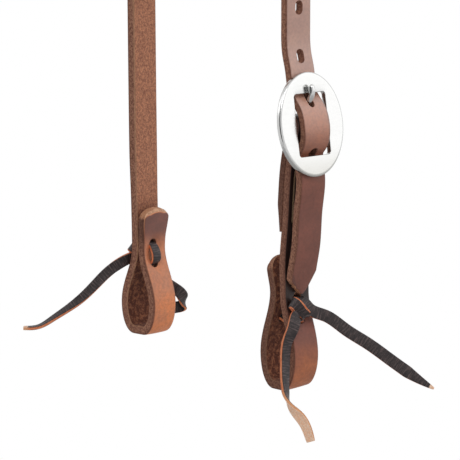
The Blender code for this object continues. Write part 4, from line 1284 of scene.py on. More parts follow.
@dataclass
class NearStrap(Strap):
    """Crown and billet in one piece of leather, punched and passed through the buckle."""

    side: int = 1
    spread: float = 60.2 * MM
    bow_drop: float = 150 * MM
    bulge: float = 6.5 * MM
    tail_length: float = 62 * MM
    draw_in: float = 11.2 * MM
    tip_left: float = 7.6 * MM
    tip_right: float = 12.0 * MM
    tip_width: float = 2.0 * MM
    tip_thickness: float = 3.2 * MM
    hole_width: float = 4.0 * MM
    hole_length: float = 6.4 * MM
    hole_pitch: float = 25.4 * MM
    tongue_play: float = 1.7 * MM
    ragged: float = 0.22 * MM
    ragged_waves: tuple = (0.42 * MM, 0.27 * MM)
    swells: tuple = (0.2 * MM, 1.0 * MM, 1.3 * MM)
    swell_length: float = 11 * MM
    swell_clear: float = 20 * MM
    pulled: float = 0.26
    pulled_drop: float = 325 * MM
    pulled_length: float = 19 * MM
    # painted shade on the flesh: half of it above this height, all of it below
    painted_shade_from: Span = (300, 20)
    raw_length: float = 11 * MM
    holes_above: int = 5
    holes_below: int = 1
    weave_shares: tuple = (
        (1.68, 0.0), (1.20, 0.0), (1.03, 0.01), (0.87, 0.18), (0.66, 0.51), (0.45, 0.80), (0.22, 0.95),
        (-0.06, 1.0), (-0.36, 0.95), (-0.59, 0.76), (-0.77, 0.37), (-0.91, 0.05), (-1.05, 0.0), (-1.22, 0.0),
        (-1.60, 0.0),
    )
    tail_shares: tuple = ((0.30, -0.15), (0.60, -0.30), (0.83, -0.58), (1.0, -0.70))

    def path(self) -> Points:
        """(x, z) points from the crown's middle, through the buckle's window, to the billet's tip."""
        behind = -PLATE.thickness - STOCK.gap - STOCK.thickness / 2
        rises, levels = np.array(self.weave_shares).T
        weave = PLATE.at(rises * (PLATE.window_height / 2), behind + levels * self.bulge)
        above = [(CROWN.reach, -CROWN.shoulder), (self.spread - STOCK.gap, -self.bow_drop)]
        above += [
            (self.spread + off, -PLATE.drop + share * PLATE.height)
            for off, share in ((0, 2), (STOCK.gap, 0.9), (STOCK.thickness / 4, 0.66))
        ]
        falls, draws = np.array(self.tail_shares).T
        below = weave[-1] + np.stack([draws * self.draw_in, -falls * self.tail_length], -1)
        upper = smooth_curve(np.array([*above, weave[0]]), (0, -1), weave[1] - weave[0], 0.4 * MM)
        middle = smooth_curve(weave, weave[1] - weave[0], None, 0.2 * MM)
        tail = smooth_curve(np.vstack([weave[-1:], below]), middle[-1] - middle[-2], None, 0.3 * MM)
        whole = end_to_end(CROWN.path(1), upper, middle, tail)
        ending = far_along(whole)[-1] - np.arange(0, 13 * MM, 0.4 * MM)[::-1]
        even = np.linspace(0, ending[0], round(ending[0] / STOCK.spacing) + 1)
        return read_at(whole, np.concatenate([even[:-1], ending]))

    def build(self, finishes: Finishes) -> Object:
        """Builds the strap with its holes and its pointed end.

        Args:
            finishes: the headstall's finishes.

        Returns:
            The finished piece.
        """
        flat = self.path()
        far, z = far_along(flat), flat[:, 1]
        left = far[-1] - far
        thinner = (STOCK.thickness - self.tip_thickness) / 2 * ease(1 - left / self.tip_right)
        cut = self.plain_cut(np.full(len(far), STOCK.width), STOCK.thickness / 2 - thinner)
        tip, wider = self.tip_width / 2, STOCK.width / 2 - self.tip_width / 2
        long_wave, short_wave = self.ragged_waves
        ragged = self.ragged * (np.sin(left / long_wave) + 0.8 * np.sin(left / short_wave + 1.0))
        cut.left = tip + wider * np.clip(left / self.tip_left, 0, 1)
        cut.left = cut.left + ragged * ease(4 - 4 * left / self.tip_left) * ease(left / MM)
        cut.right = tip + wider * np.clip(left / self.tip_right, 0, 1) ** 0.7
        bulging = bell(z + PLATE.drop, self.swell_length) * (left > self.swell_clear)
        left_swell, right_swell, eased_swell = self.swells
        cut.left, cut.right = cut.left + left_swell * bulging, cut.right + right_swell * bulging
        cut.flesh_ease = cut.flesh_ease + eased_swell * bulging
        pull = self.pulled * bell(z + self.pulled_drop, self.pulled_length)
        # half the flesh's painted shade above the buckle, all of it below
        looks = Looks(pull, 0.5 + 0.5 * ramp(-z, *self.painted_shade_from), ease(1 - left / self.raw_length))
        piece = carry(*self.frame_along(flat), cut, looks).build("near_strap", finishes.leather)
        punched(piece, [skin.build("hole", finishes.leather) for skin in self.holes(flat, far)])
        return piece

    def holes(self, flat: Points, far: Points) -> list[Skin]:
        """The oblong holes at an even pitch, with the one in use where the tongue goes through.

        Args:
            flat: the strap's (x, z) stations.
            far: the distance along at each station.

        Returns:
            A punch's surface for each hole.
        """
        crossing, through = BuckleTongue().crossing(flat)
        low = slice(len(flat) // 3, None)
        at = np.interp(-crossing[1], -flat[low, 1], far[low])
        made = []
        for i in range(-self.holes_below, self.holes_above + 1):
            place, ahead = (values_at(at - i * self.hole_pitch + on, far, flat) for on in (0, STOCK.gap))
            way, play, half = unit(ahead - place), 0.0, STOCK.thickness / 2
            if i == 0:
                place, way, play, half = crossing, beside(through), self.tongue_play, STOCK.thickness
            outline = ring_outline(self.hole_width, self.hole_length + play, 12)
            made.append(Punch(outline, in_space(place), in_space(way), Y_WAY, in_space(-beside(way)), half).skin())
        return made


@dataclass
class NearCheek(LoopStrap):
    """The near cheek: folded round the buckle's bar at its top, with the near bit loop at its bottom."""

    side: int = 1
    loop: BitLoop = NEAR_LOOP
    end: StrapEnd = StrapEnd(
        flare=3.2 * MM, flare_length=20 * MM, rounding=7.5 * MM, squareness=2.0, bare=0.1
    )
    fold_thickness: float = 3.8 * MM
    fold_radius: float = 4.2 * MM
    lean: float = 18.0
    fold_length: float = 55 * MM
    end_thickness_short: float = 0.9 * MM
    skive_length: float = 14 * MM
    thinning: float = 14 * MM
    setback: float = 6.4 * MM
    slot_width: float = 4.6 * MM
    slot_margin: float = 0.6 * MM
    pulled: float = 0.5
    pulled_from: Span = (434, 24)
    # painted shadow on the outer layer's grain above this height, under the billet's tail
    painted_shadow_to: Span = (-430, 10)
    # painted shade on the cut edges: most at the fold behind the buckle, then the inner layer, least the outer
    edge_shades: tuple = (-0.9, -0.7, -0.35)
    lift: float = 1.2 * MM
    lift_from: Span = (440, 20)

    def front(self) -> Points:
        """(x, z) points of the front layer, from the fold down to the loop's pinch."""
        lean = math.radians(self.lean)
        start = PLATE.bar_place + self.fold_radius * np.array([math.cos(lean), -math.sin(lean)])
        way = np.array([-math.sin(lean), -math.cos(lean)])
        pinch = self.loop.path()[0]
        drop = start[1] - pinch[1]
        shares = ((0.62, 0.25), (0.46, 0.36), (0.22, 0.60), (-0.07, 0.86))
        route = [(pinch[0] + a * self.setback, start[1] - b * drop) for a, b in shares]
        return smooth_curve(np.array([start, start + way * 0.16 * drop, *route, pinch]), way, (0, -1), 0.3 * MM)

    def thickness_down(self, distance: Points) -> Points:
        """The front layer's thickness at a distance below the fold."""
        return self.fold_thickness + (STOCK.thickness - self.fold_thickness) * ease(distance / self.thinning)

    def short_down(self, distance: Points) -> Points:
        """The short layer's thickness beside a distance down the front layer."""
        share = np.clip((self.fold_length - distance) / self.skive_length, 0, 1)
        return self.end_thickness_short + (self.fold_thickness - self.end_thickness_short) * share

    def fold(self) -> Points:
        """(x, z) points up the short layer and over the bar, half a strap behind the front layer."""
        front = self.front()
        down = far_along(front)
        offset = (self.thickness_down(down) + self.short_down(down)) / 2 + STOCK.gap
        behind = front + beside(headings(front)) * offset[:, None]
        lower = behind[(down > self.thinning) & (down < self.fold_length)]
        bar = PLATE.bar_place
        top = np.array([lower[0], bar - [self.fold_radius, 0]])
        rise = smooth_curve(top, lower[0] - lower[1], (0, 1), 0.3 * MM)
        return end_to_end(lower[::-1], rise, arc_points(bar, self.fold_radius, 180, -self.lean, 0.2 * MM))

    def build(self, finishes: Finishes) -> Object:
        """Builds the strap with its tongue slot and its two tie holes.

        Args:
            finishes: the headstall's finishes.

        Returns:
            The finished piece.
        """
        fold = self.fold()
        flat = self.line(end_to_end(fold, self.front(), self.loop.path()), STOCK.spacing * 0.8)
        far, z = far_along(flat), flat[:, 1]
        down = far - far_along(fold)[-1]
        skived = np.interp(far, [0, self.skive_length], [self.end_thickness_short, self.fold_thickness])
        thickness = np.where(down < 0, skived, self.thickness_down(down))
        cut = self.plain_cut(np.full(len(far), STOCK.width), thickness / 2)
        ending = self.round_end(far, cut)
        inner = np.arange(len(far)) > int(np.argmin(z))
        # the outer layer's grain gets painted shadow above the tie, under the billet's tail
        pull = self.pulled * ramp(-z, *self.pulled_from) - ramp(z, *self.painted_shadow_to) * ~inner
        # painted shade on every cut edge of the cheek
        folded_shade, inner_shade, outer_shade = self.edge_shades
        raw = np.where(down < 0, folded_shade, np.where(inner, inner_shade, outer_shade))
        # all of the cheek's flesh has painted shade
        skin = self.skin(flat, cut, Looks(pull, np.ones(len(far)), raw), ending)
        lifted = ramp(-skin.places[..., 2], *self.lift_from) * (0.5 + skin.places[..., 1] / STOCK.width)
        skin.places[..., 2] += self.lift * lifted
        piece = skin.build("near_cheek", finishes.leather)
        punched(piece, [*self.tie_holes(finishes), self.tongue_slot(finishes)])
        return piece

    def tongue_slot(self, finishes: Finishes) -> Object:
        """A short round bar about the buckle's bar, cut out so that the tongue can turn.

        Args:
            finishes: the headstall's finishes.

        Returns:
            The closed object that is cut out.
        """
        tongue = BuckleTongue()
        outline = circle(all_round(40), tongue.hook_radius + tongue.diameter / 2 + self.slot_margin)
        middle, half = in_space(PLATE.bar_place), self.slot_width / 2
        return Punch(outline, middle, X_WAY, Z_WAY, Y_WAY, half, overrun=0.0, mouth=0.0).skin().build(
            "slot", finishes.leather
        )


# The buckle


@dataclass
class BuckleTongue:
    """The tongue: a round wire hooked round the bar, with a flattened rounded tip."""

    diameter: float = 3.4 * MM
    tip: float = 2.4 * MM
    length: float = 20.2 * MM
    opening: float = 340.0
    sides: int = 28
    shares: tuple = ((0.02, 0.0), (0.19, -0.09), (0.36, 0.02), (0.54, 0.36), (0.70, 0.80), (0.83, 1.03), (1.0, 1.0))

    @property
    def hook_radius(self) -> float:
        """The radius of the hook's middle line."""
        return PLATE.bar / 2 + STOCK.gap + self.diameter / 2

    def line(self) -> Points:
        """(x, z) points from the hook's open end, round the bar and up to the tip."""
        level = self.diameter / 2 + STOCK.gap - PLATE.bar_level - self.hook_radius
        rises, levels = np.array(self.shares).T
        points = np.stack([rises * self.length, PLATE.bar_level + self.hook_radius + levels * level], -1)
        hook = arc_points((0, PLATE.bar_level), self.hook_radius, self.opening, 90, 0.2 * MM)
        return PLATE.at(*end_to_end(hook, smooth_curve(points, (1, 0), None, 0.2 * MM)).T)

    def crossing(self, billet: Points) -> tuple[Points, Points]:
        """Where the tongue passes through the billet's middle, and its direction there."""
        line = self.line()
        apart = np.linalg.norm(line[:, None] - evenly(billet, 0.25 * MM)[None], axis=-1).min(axis=1)
        nearest = int(np.argmin(apart))
        return line[nearest], headings(line)[nearest]

    def build(self, finishes: Finishes) -> Object:
        """A circle carried along the line, thinner and closed by a half round at both ends.

        Args:
            finishes: the headstall's finishes.

        Returns:
            The finished piece.
        """
        line = evenly(self.line(), 0.35 * MM)
        far = far_along(line)
        left = far[-1] - far
        radii = (self.tip + (self.diameter - self.tip) * np.sqrt(np.clip(left / (1.6 * self.diameter), 0, 1))) / 2
        for distance in (far, left):
            radii = radii * np.sqrt(np.clip(1 - (1 - np.clip(distance / radii, 0.04, 1)) ** 2, 0, 1))
        return wire("buckle_tongue_wire", in_space(line), radii, self.sides, finishes.metal)


def wire(
    name: str, line: Points, radii: Points, sides: int, finishes: list[Material], side: Points = Y_WAY
) -> Object:
    """A round wire: a circle of each station's radius, carried square to the line.

    Args:
        name: the piece's name.
        line: its middle line in space.
        radii: its radius at each station.
        sides: the points round it.
        finishes: its material slots.
        side: a direction that is never along the line.

    Returns:
        The new object.
    """
    ways = headings(line)
    across = unit(side - (side * ways).sum(-1, keepdims=True) * ways)
    angles = all_round(sides)
    ring = across[:, None] * np.cos(angles)[:, None] + np.cross(across, ways)[:, None] * np.sin(angles)[:, None]
    made = plain_skin(line[:, None] + ring * radii[:, None, None])
    over = np.repeat((angles * radii.max())[None], len(line), 0)
    over = corner_values(over, over + math.tau * radii.max() / sides)
    made.lay = np.stack([flat_values(far_along(line), sides), over], -1)
    return made.build(name, finishes)


@dataclass
class BucklePlate:
    """The plate's outlines and profile, with two lugs behind it."""

    corner_steps: int = 9
    side_steps: int = 26
    easing: float = 0.4 * MM
    lug_easing: float = 0.35 * MM
    root: float = 0.6 * MM

    def window(self) -> Points:
        """(Y, rise) points round the window: quarter circles at the corners, joined by straight sides."""
        corner = PLATE.window_corner
        reach = [PLATE.window_width / 2 - corner, PLATE.window_height / 2 - corner]
        signs = np.array([(1, 1), (-1, 1), (-1, -1), (1, -1)])
        made = []
        for turn in range(4):
            bow = circle(math.radians(90 * turn) + np.linspace(0, QUARTER, self.corner_steps), corner)
            arc = signs[turn] * reach + bow
            start = signs[(turn + 1) % 4] * reach + bow[-1]
            made += [arc, arc[-1] + np.linspace(0, 1, self.side_steps)[1:-1, None] * (start - arc[-1])]
        return np.concatenate(made)

    def build(self, finishes: Finishes) -> Object:
        """Builds the plate as rings: up its outer wall, over a rounded shoulder, and down the window's wall.

        Args:
            finishes: the headstall's finishes.

        Returns:
            The finished piece.
        """
        window = self.window()
        away = outward(window)
        angles = np.arctan2(window[:, 1] / PLATE.height, window[:, 0] / PLATE.width)

        def oval(inset: float) -> Points:
            """The plate's oval drawn in by an inset, in the directions of the window's points."""
            halves = [PLATE.width / 2 - inset, PLATE.height / 2 - inset]
            return circle(angles) * halves

        back, easing, bevel = -PLATE.thickness, self.easing, PLATE.bevel
        flank = (PLATE.width - PLATE.window_width) / 2 - 3.6 * MM
        soft = [(1 - math.sin(t), 1 - math.cos(t)) for t in np.linspace(0, QUARTER, 5)]
        profile = [(oval(easing * s), back + easing * c) for s, c in soft]
        profile += [
            (oval(1.5 * bevel * (1 - math.cos(t))), -bevel * 1.1 * (1 - math.sin(t)))
            for t in np.linspace(0, QUARTER, 8)
        ]
        profile += [(oval(1.5 * bevel + 0.08 * flank), 0.0)]
        profile += [(window + away * easing * s, -easing * c) for s, c in soft]
        profile += [(window + away * easing * c, back + easing * s) for s, c in soft]
        rings = [np.insert(PLATE.at(outline[:, 1], level), 1, outline[:, 0], axis=1) for outline, level in profile]
        body = plain_skin(rings, closed=True).build("buckle_plate_body", finishes.metal)
        return joined("buckle_plate_satin", [body, *(self.lug(side, finishes) for side in (-1, 1))])

    def lug(self, side: int, finishes: Finishes) -> Object:
        """A lug: straight from the plate, round about the bar, with eased edges.

        Args:
            side: 1 towards +Y and -1 towards -Y.
            finishes: the headstall's finishes.

        Returns:
            The lug's object.
        """
        half, root = PLATE.lug_width / 2, -PLATE.thickness + self.root
        end = circle(np.radians(np.linspace(0, -180, 33)), half) + [0, PLATE.bar_level]
        outline = np.concatenate([[(half, root)], end, [(-half, root)]])
        away = outward(outline)
        inner, outer = PLATE.lug_inner, PLATE.lug_inner + PLATE.lug_thickness
        eased = [(share * self.lug_easing, inset * self.lug_easing) for share, inset in ((0, 1), (0.3, 0.3), (1, 0))]
        levels = [(inner + step, inset) for step, inset in eased]
        levels += [(outer - step, inset) for step, inset in eased[::-1]]
        rings = [in_space(PLATE.at(*(outline - away * inset).T), side * y) for y, inset in levels]
        return plain_skin(rings).build("lug", finishes.metal)


@dataclass
class BuckleBar:
    """The bar with a riveted head at each end."""

    half: float = 14.25 * MM
    head: float = 5.8 * MM
    head_length: float = 0.9 * MM
    sides: int = 36

    def build(self, finishes: Finishes) -> Object:
        """A profile of radii turned about the bar's axis.

        Args:
            finishes: the headstall's finishes.

        Returns:
            The finished piece.
        """
        turn = np.linspace(0.08, QUARTER, 7)
        dome = np.stack([self.half + self.head_length * np.cos(turn), self.head / 2 * np.sin(turn)], -1)
        profile = np.concatenate([dome, [(self.half, self.head / 2), (self.half, PLATE.bar / 2)]])
        profile = np.concatenate([profile, profile[::-1] * [-1, 1]])[..., None, None]
        ring = in_space(circle(all_round(self.sides)))
        places = in_space(PLATE.bar_place) + ring[None] * profile[:, 1] + Y_WAY * profile[:, 0]
        return plain_skin(places).build("buckle_bar_turned", finishes.metal)


# Stitching


@dataclass
class Stitching:
    """The two threads that close the cheek's fold, side by side in the same holes."""

    cheek: NearCheek = field(default_factory=NearCheek)
    diameter: float = 0.9 * MM
    pitch: float = 3.3 * MM
    in_a_row: int = 9
    across: int = 3
    edge: float = 3.0 * MM
    start: float = 22.5 * MM
    sides: int = 10
    sunk: float = 0.15 * MM
    bend: float = 0.55 * MM

    def holes(self) -> Points:
        """(distance down the front layer, Y) of each hole: down one edge, across and up the other."""
        side = STOCK.width / 2 - self.edge
        rows = self.start + self.pitch * np.arange(self.in_a_row)
        over = [(rows[-1], y) for y in np.linspace(-side, side, self.across + 1)[1:-1]]
        return np.array([(row, -side) for row in rows] + over + [(row, side) for row in rows[::-1]])

    def build(self, finishes: Finishes) -> Object:
        """Two wires that cross each other in every hole, one on each face between holes.

        Args:
            finishes: the headstall's finishes.

        Returns:
            The finished piece.
        """
        front = self.cheek.front()
        far = far_along(front)
        down, y = self.holes().T
        at = values_at(down, far, front)
        inward = beside(unit(values_at(down, far, headings(front))))
        deep = self.cheek.thickness_down(down)
        both = deep + STOCK.gap + self.cheek.short_down(down)
        levels = -(deep / 2 + self.sunk), both - deep / 2 + self.sunk
        faces = np.array([in_space(at + inward * level[:, None]) + Y_WAY * y[:, None] for level in levels])
        pieces = []
        for thread in (0, 1):
            even = (np.arange(len(y)) + thread + 1) % 2
            corners = np.stack([faces[even, np.arange(len(y))], faces[1 - even, np.arange(len(y))]], 1)
            line = evenly(rounded(corners.reshape(-1, 3), self.bend), 0.3 * MM)
            radii = np.full(len(line), self.diameter / 2)
            pieces.append(wire("thread", line, radii, self.sides, finishes.sewing, np.array([0.31, 0.83, 0.46])))
        return joined("fold_thread", pieces)


def rounded(corners: Points, bend: float) -> Points:
    """A line of corners with each inner corner replaced by a short curve of the second degree.

    Args:
        corners: the line's points.
        bend: how far from its corner a curve may start.

    Returns:
        The line with seven points for each inner corner.
    """
    here = corners[1:-1]
    a, b = (
        unit(other - here) * np.minimum(bend, np.linalg.norm(other - here, axis=1, keepdims=True) / 2)
        for other in (corners[:-2], corners[2:])
    )
    share = np.linspace(0, 1, 7)[None, :, None]
    curves = here[:, None] + (1 - share) ** 2 * a[:, None] + share**2 * b[:, None]
    return np.concatenate([corners[:1], curves.reshape(-1, 3), corners[-1:]])


# Bit ties


def blurred(values: Points, along: Points, width: float) -> Points:
    """Values averaged along a line with a bell of the given width."""
    weight = bell(along[:, None] - along[None], width)
    return (weight @ values) / weight.sum(1, keepdims=True)


@dataclass
class BitTie:
    """A thong laced through a bit loop, tied on its outer side and left with two free ends.

    Its route is given in rows: a point in millimetres, then the way that its grain faces. In the knot they are
    along Y, up the strap and out from it, and in the tails along the frame's own axes, all from the middle of the
    knot's place on the strap.
    """

    name: str
    loop: BitLoop
    first_tail: tuple
    first_strand: tuple
    second_tail: tuple
    first_taper: float = 16 * MM
    second_taper: float = 8 * MM
    width: float = 6.2 * MM
    thickness: float = 1.75 * MM
    leg_width: float = 4.3 * MM
    bight_width: float = 5.8 * MM
    sunk: float = 1.7 * MM
    bare_end: float = 0.0
    first_share: float = 0.16
    last_share: float = 0.42
    facing_blur: float = 1.2 * MM
    width_blur: float = 1.5 * MM
    tip_length: float = 2.5 * MM
    bare_fade: float = 6 * MM
    tight: tuple = (3, 8)
    knot: tuple = (
        (-0.8, -3.4, 1.2, 0, 0, 1), (-3.0, -0.2, 1.4, 0, 0, 1), (-4.9, 1.8, 2.1, 0, 0.1, 1),
        (-6.5, 3.1, 3.2, 0.6, -0.6, 0.3), (-5.7, 2.3, 4.3, 0.6, -0.1, -0.8),
        (-4.5, 0.9, 4.7, 0.75, 0.1, -0.65), (-3.3, -0.7, 4.8, 0.8, 0.1, -0.6),
        (-1.9, -2.7, 4.7, 0.75, 0.1, -0.65), (-0.4, -4.6, 4.2, 0.1, 0.5, -0.8),
        (-0.6, -5.0, 3.2, -0.4, 0.4, 0.8), (-2.2, -4.2, 2.8, 0, 0, 1), (-4.2, -3.7, 2.9, -0.3, 0, 1),
    )

    def mouths(self) -> Points:
        """(x, z) of the thong's middle where it enters each hole: outer low, outer high, inner high, inner low."""
        made = []
        for layer, sign in zip(self.loop.layers(), (1, -1)):
            for end in (-sign, sign):
                point, way, height = self.loop.tie_place(layer, end / 2)
                low = STOCK.gap + self.thickness / 2 - PRESSED[sign]
                reach = (STOCK.thickness / 2 + low) / abs(way[1])
                made.append((point[0] + sign * self.loop.side * reach, height))
        return np.array(made)

    def route(self) -> tuple[Points, Points, Points]:
        """The whole thong's points, facings and widths."""
        loop, deep, set_in = self.loop, self.sunk, 0.2 * MM
        point, way, _ = loop.tie_place(loop.layers()[0])
        out = -loop.side * beside(way)
        middle = in_space(point + out * STOCK.thickness / 2, loop.tie_beside)
        knot_axes = np.array([Y_WAY, in_space(-way), in_space(out)])
        x, z = X_WAY * loop.side, Z_WAY
        outer_low, outer_high, inner_high, inner_low = in_space(self.mouths(), loop.tie_beside)
        lacing = np.array([
            outer_high - x * deep, inner_high + x * deep, inner_high - z * deep * 0.9 - x * set_in,
            inner_low + z * deep * 0.9 - x * set_in, inner_low + x * deep, outer_low - x * deep,
        ])
        runs = []
        for rows, axes in (
            (self.first_tail, np.diag([loop.side, 1, 1])), (self.first_strand, knot_axes),
            (self.knot, knot_axes), (self.second_tail, np.diag([loop.side, 1, 1])),
        ):
            spots, faces = np.split(np.array(rows, float), 2, axis=1)
            runs.append((middle + spots * MM @ axes, unit(faces @ axes), np.full(len(rows), self.width)))
        leg, bight = self.leg_width, self.bight_width
        runs.insert(2, (lacing, np.array([z, z, -x, -x, -z, -z]), np.array([leg, leg, bight, bight, leg, leg])))
        return tuple(np.concatenate(parts) for parts in zip(*runs))

    def build(self, finishes: Finishes, bend: Bend | None = None) -> Object:
        """Builds the thong: a flat strip's cut carried along the route.

        Args:
            finishes: the headstall's finishes.
            bend: a function that bends points in space, or None.

        Returns:
            The finished piece.
        """
        points, facing, inside = self.route()
        line = smooth_curve(points, None, None, 0.2 * MM)
        far = far_along(line)
        spots = np.array([far[int(np.argmin(np.linalg.norm(line - point, axis=1)))] for point in points])
        even = evenly(line, 0.6 * MM)
        along = far_along(even)
        left = along[-1] - along
        facings = blurred(values_at(along, spots, facing), along, self.facing_blur)
        widths = blurred(np.interp(along, spots, inside)[:, None], along, self.width_blur)[:, 0]
        ways = headings(even)
        across = unit(np.cross(facings, ways))
        first = np.clip(along / self.first_taper, 0, 1) ** 0.8
        last = np.clip(left / self.second_taper, 0, 1) ** 0.6
        for share, end in ((self.first_share, first), (self.last_share, last)):
            widths = widths * (share + (1 - share) * end)
        halves = self.thickness / 2 * (0.55 + 0.45 * np.clip(along / (3 * MM), 0, 1))
        start, stop = spots[len(self.first_tail) + len(self.first_strand) + 6 + np.array(self.tight)]
        tight = ease((along - start) / MM) * ease((stop - along) / MM)
        corner = (0.24 + 0.3 * tight) * MM
        cut = Cut(widths / 2, widths / 2, halves, corner, corner, corner, 0.08 * MM, True, 9, 3, 4)
        tip = np.maximum(ease(1.5 - along / self.tip_length), 0.8 * ease(1.5 - left / self.tip_length))
        bare = ease((self.bare_end - left) / self.bare_fade)
        looks = Looks(tip, np.maximum(tip, bare), np.maximum(tip, bare * 0.6))
        skin = carry(even, across, np.cross(ways, across), cut, looks)
        rim = np.ones(skin.zones.shape[1], bool)
        rim[np.flatnonzero(skin.zones[0] == Zone.FLESH)[cut.corner_points : -cut.corner_points]] = False
        rim[: cut.face_points - 1] = False
        skin.zones[(tight[1:] > 0.5)[:, None] & rim] = Zone.EDGE
        skin.places = bend(skin.places) if bend else skin.places
        return skin.build(self.name, finishes.lace)


TO_CAMERA = (0.74, -0.62, 0.26)
NEAR_TIE = BitTie(
    "near_tie",
    NEAR_LOOP,
    first_tail=(
        (49.1, 49.1, -41.3, *TO_CAMERA), (43.7, 43.7, -36.7, *TO_CAMERA), (37.4, 38.2, -31.2, *TO_CAMERA),
        (32.0, 32.8, -25.7, *TO_CAMERA), (24.2, 25.7, -18.3, *TO_CAMERA), (15.6, 17.9, -11.1, *TO_CAMERA),
        (7.7, 10.8, -4.2, *TO_CAMERA),
    ),
    first_strand=((4.4, -1.4, 3.0, -0.2, 0, 1), (2.4, 2.6, 1.7, 0, 0.2, 1)),
    second_tail=(
        (5.2, -8.1, -7.4, 0.93, -0.30, 0.16), (4.4, -11.8, -15.5, 0.98, 0.04, 0.16),
        (4.4, -13.3, -24.4, 0.97, 0.12, 0.16), (5.9, -14.8, -33.3, 0.96, 0.20, 0.16),
        (6.7, -14.8, -41.4, 0.90, 0.42, 0.16), (8.9, -14.1, -47.4, 0.50, 0.86, 0.0),
        (14.1, -10.4, -54.8, -0.30, 0.95, -0.1), (18.5, -8.1, -65.9, -0.45, 0.88, -0.1),
    ),
    bare_end=32 * MM,
    second_taper=24 * MM,
    last_share=0.66,
)
OFF_TIE = BitTie(
    "off_tie",
    OFF_LOOP,
    first_tail=(
        (3.7, 17.4, -34.7, -0.74, -0.65, 0.16), (1.2, 21.7, -34.7, -0.74, -0.65, 0.16),
        (-1.2, 25.4, -34.1, -0.71, -0.69, 0.16), (-4.3, 27.9, -32.9, -0.34, -0.89, 0.30),
        (-6.2, 26.7, -29.8, 0.90, -0.37, 0.24), (-6.2, 24.8, -26.0, 0.84, 0.54, -0.06),
        (-2.5, 22.9, -22.9, 0.67, 0.72, -0.16), (5.0, 11.2, -11.2, 0.74, 0.65, -0.16),
    ),
    first_strand=((5.2, -4.4, 1.9, 0.3, -0.1, 1), (2.2, 1.2, 1.4, 0, 0, 1), (0.7, 4.2, 1.3, 0, 0.2, 1)),
    knot=(
        (0.4, -3.6, 1.2, 0, 0, 1), (-1.2, -0.6, 1.4, 0, 0, 1), (-2.4, 1.2, 2.1, 0, 0.1, 1),
        (-3.4, 2.2, 3.2, 0.6, -0.6, 0.3), (-2.8, 1.8, 4.3, 0.2, -0.2, -1), (-1.4, 0.8, 4.7, 0, 0, -1),
        (-0.4, -0.5, 4.8, 0, 0, -1), (1.6, -2.9, 4.7, 0, 0, -1), (3.4, -5.0, 4.2, -0.5, 0.5, -0.7),
        (3.2, -5.4, 3.2, -0.4, 0.4, 0.8), (0.6, -4.3, 2.8, 0, 0, 1), (-3.4, -3.9, 2.9, 0, 0, 1),
    ),
    second_tail=(
        (9.1, -14.4, -9.9, 0.72, 0.63, -0.31), (12.9, -19.8, -16.0, 0.66, 0.57, -0.49),
        (18.2, -26.6, -24.3, 0.56, 0.45, -0.69), (23.6, -32.7, -30.4, 0.33, 0.36, -0.87),
        (28.9, -38.8, -35.7, 0.20, 0.22, -0.96), (33.4, -44.1, -39.5, 0.10, 0.10, -0.99),
        (39.5, -49.4, -40.3, 0.06, 0.06, -1.00),
    ),
    first_taper=6 * MM,
    second_taper=80 * MM,
)


# Stage, lamps and camera


def aimed(name: str, held: bpy.types.ID, place: Colour, aim: Colour) -> Object:
    """A lamp or a camera in the scene, at a place and pointing at another.

    Args:
        name: the object's name.
        held: the lamp's or the camera's own data.
        place: where it stands.
        aim: the point that it faces.

    Returns:
        The new object.
    """
    made = bpy.data.objects.new(name, held)
    made.location = place
    made.rotation_euler = (Vector(place) - Vector(aim)).to_track_quat("Z", "Y").to_euler()
    bpy.context.scene.collection.objects.link(made)
    return made


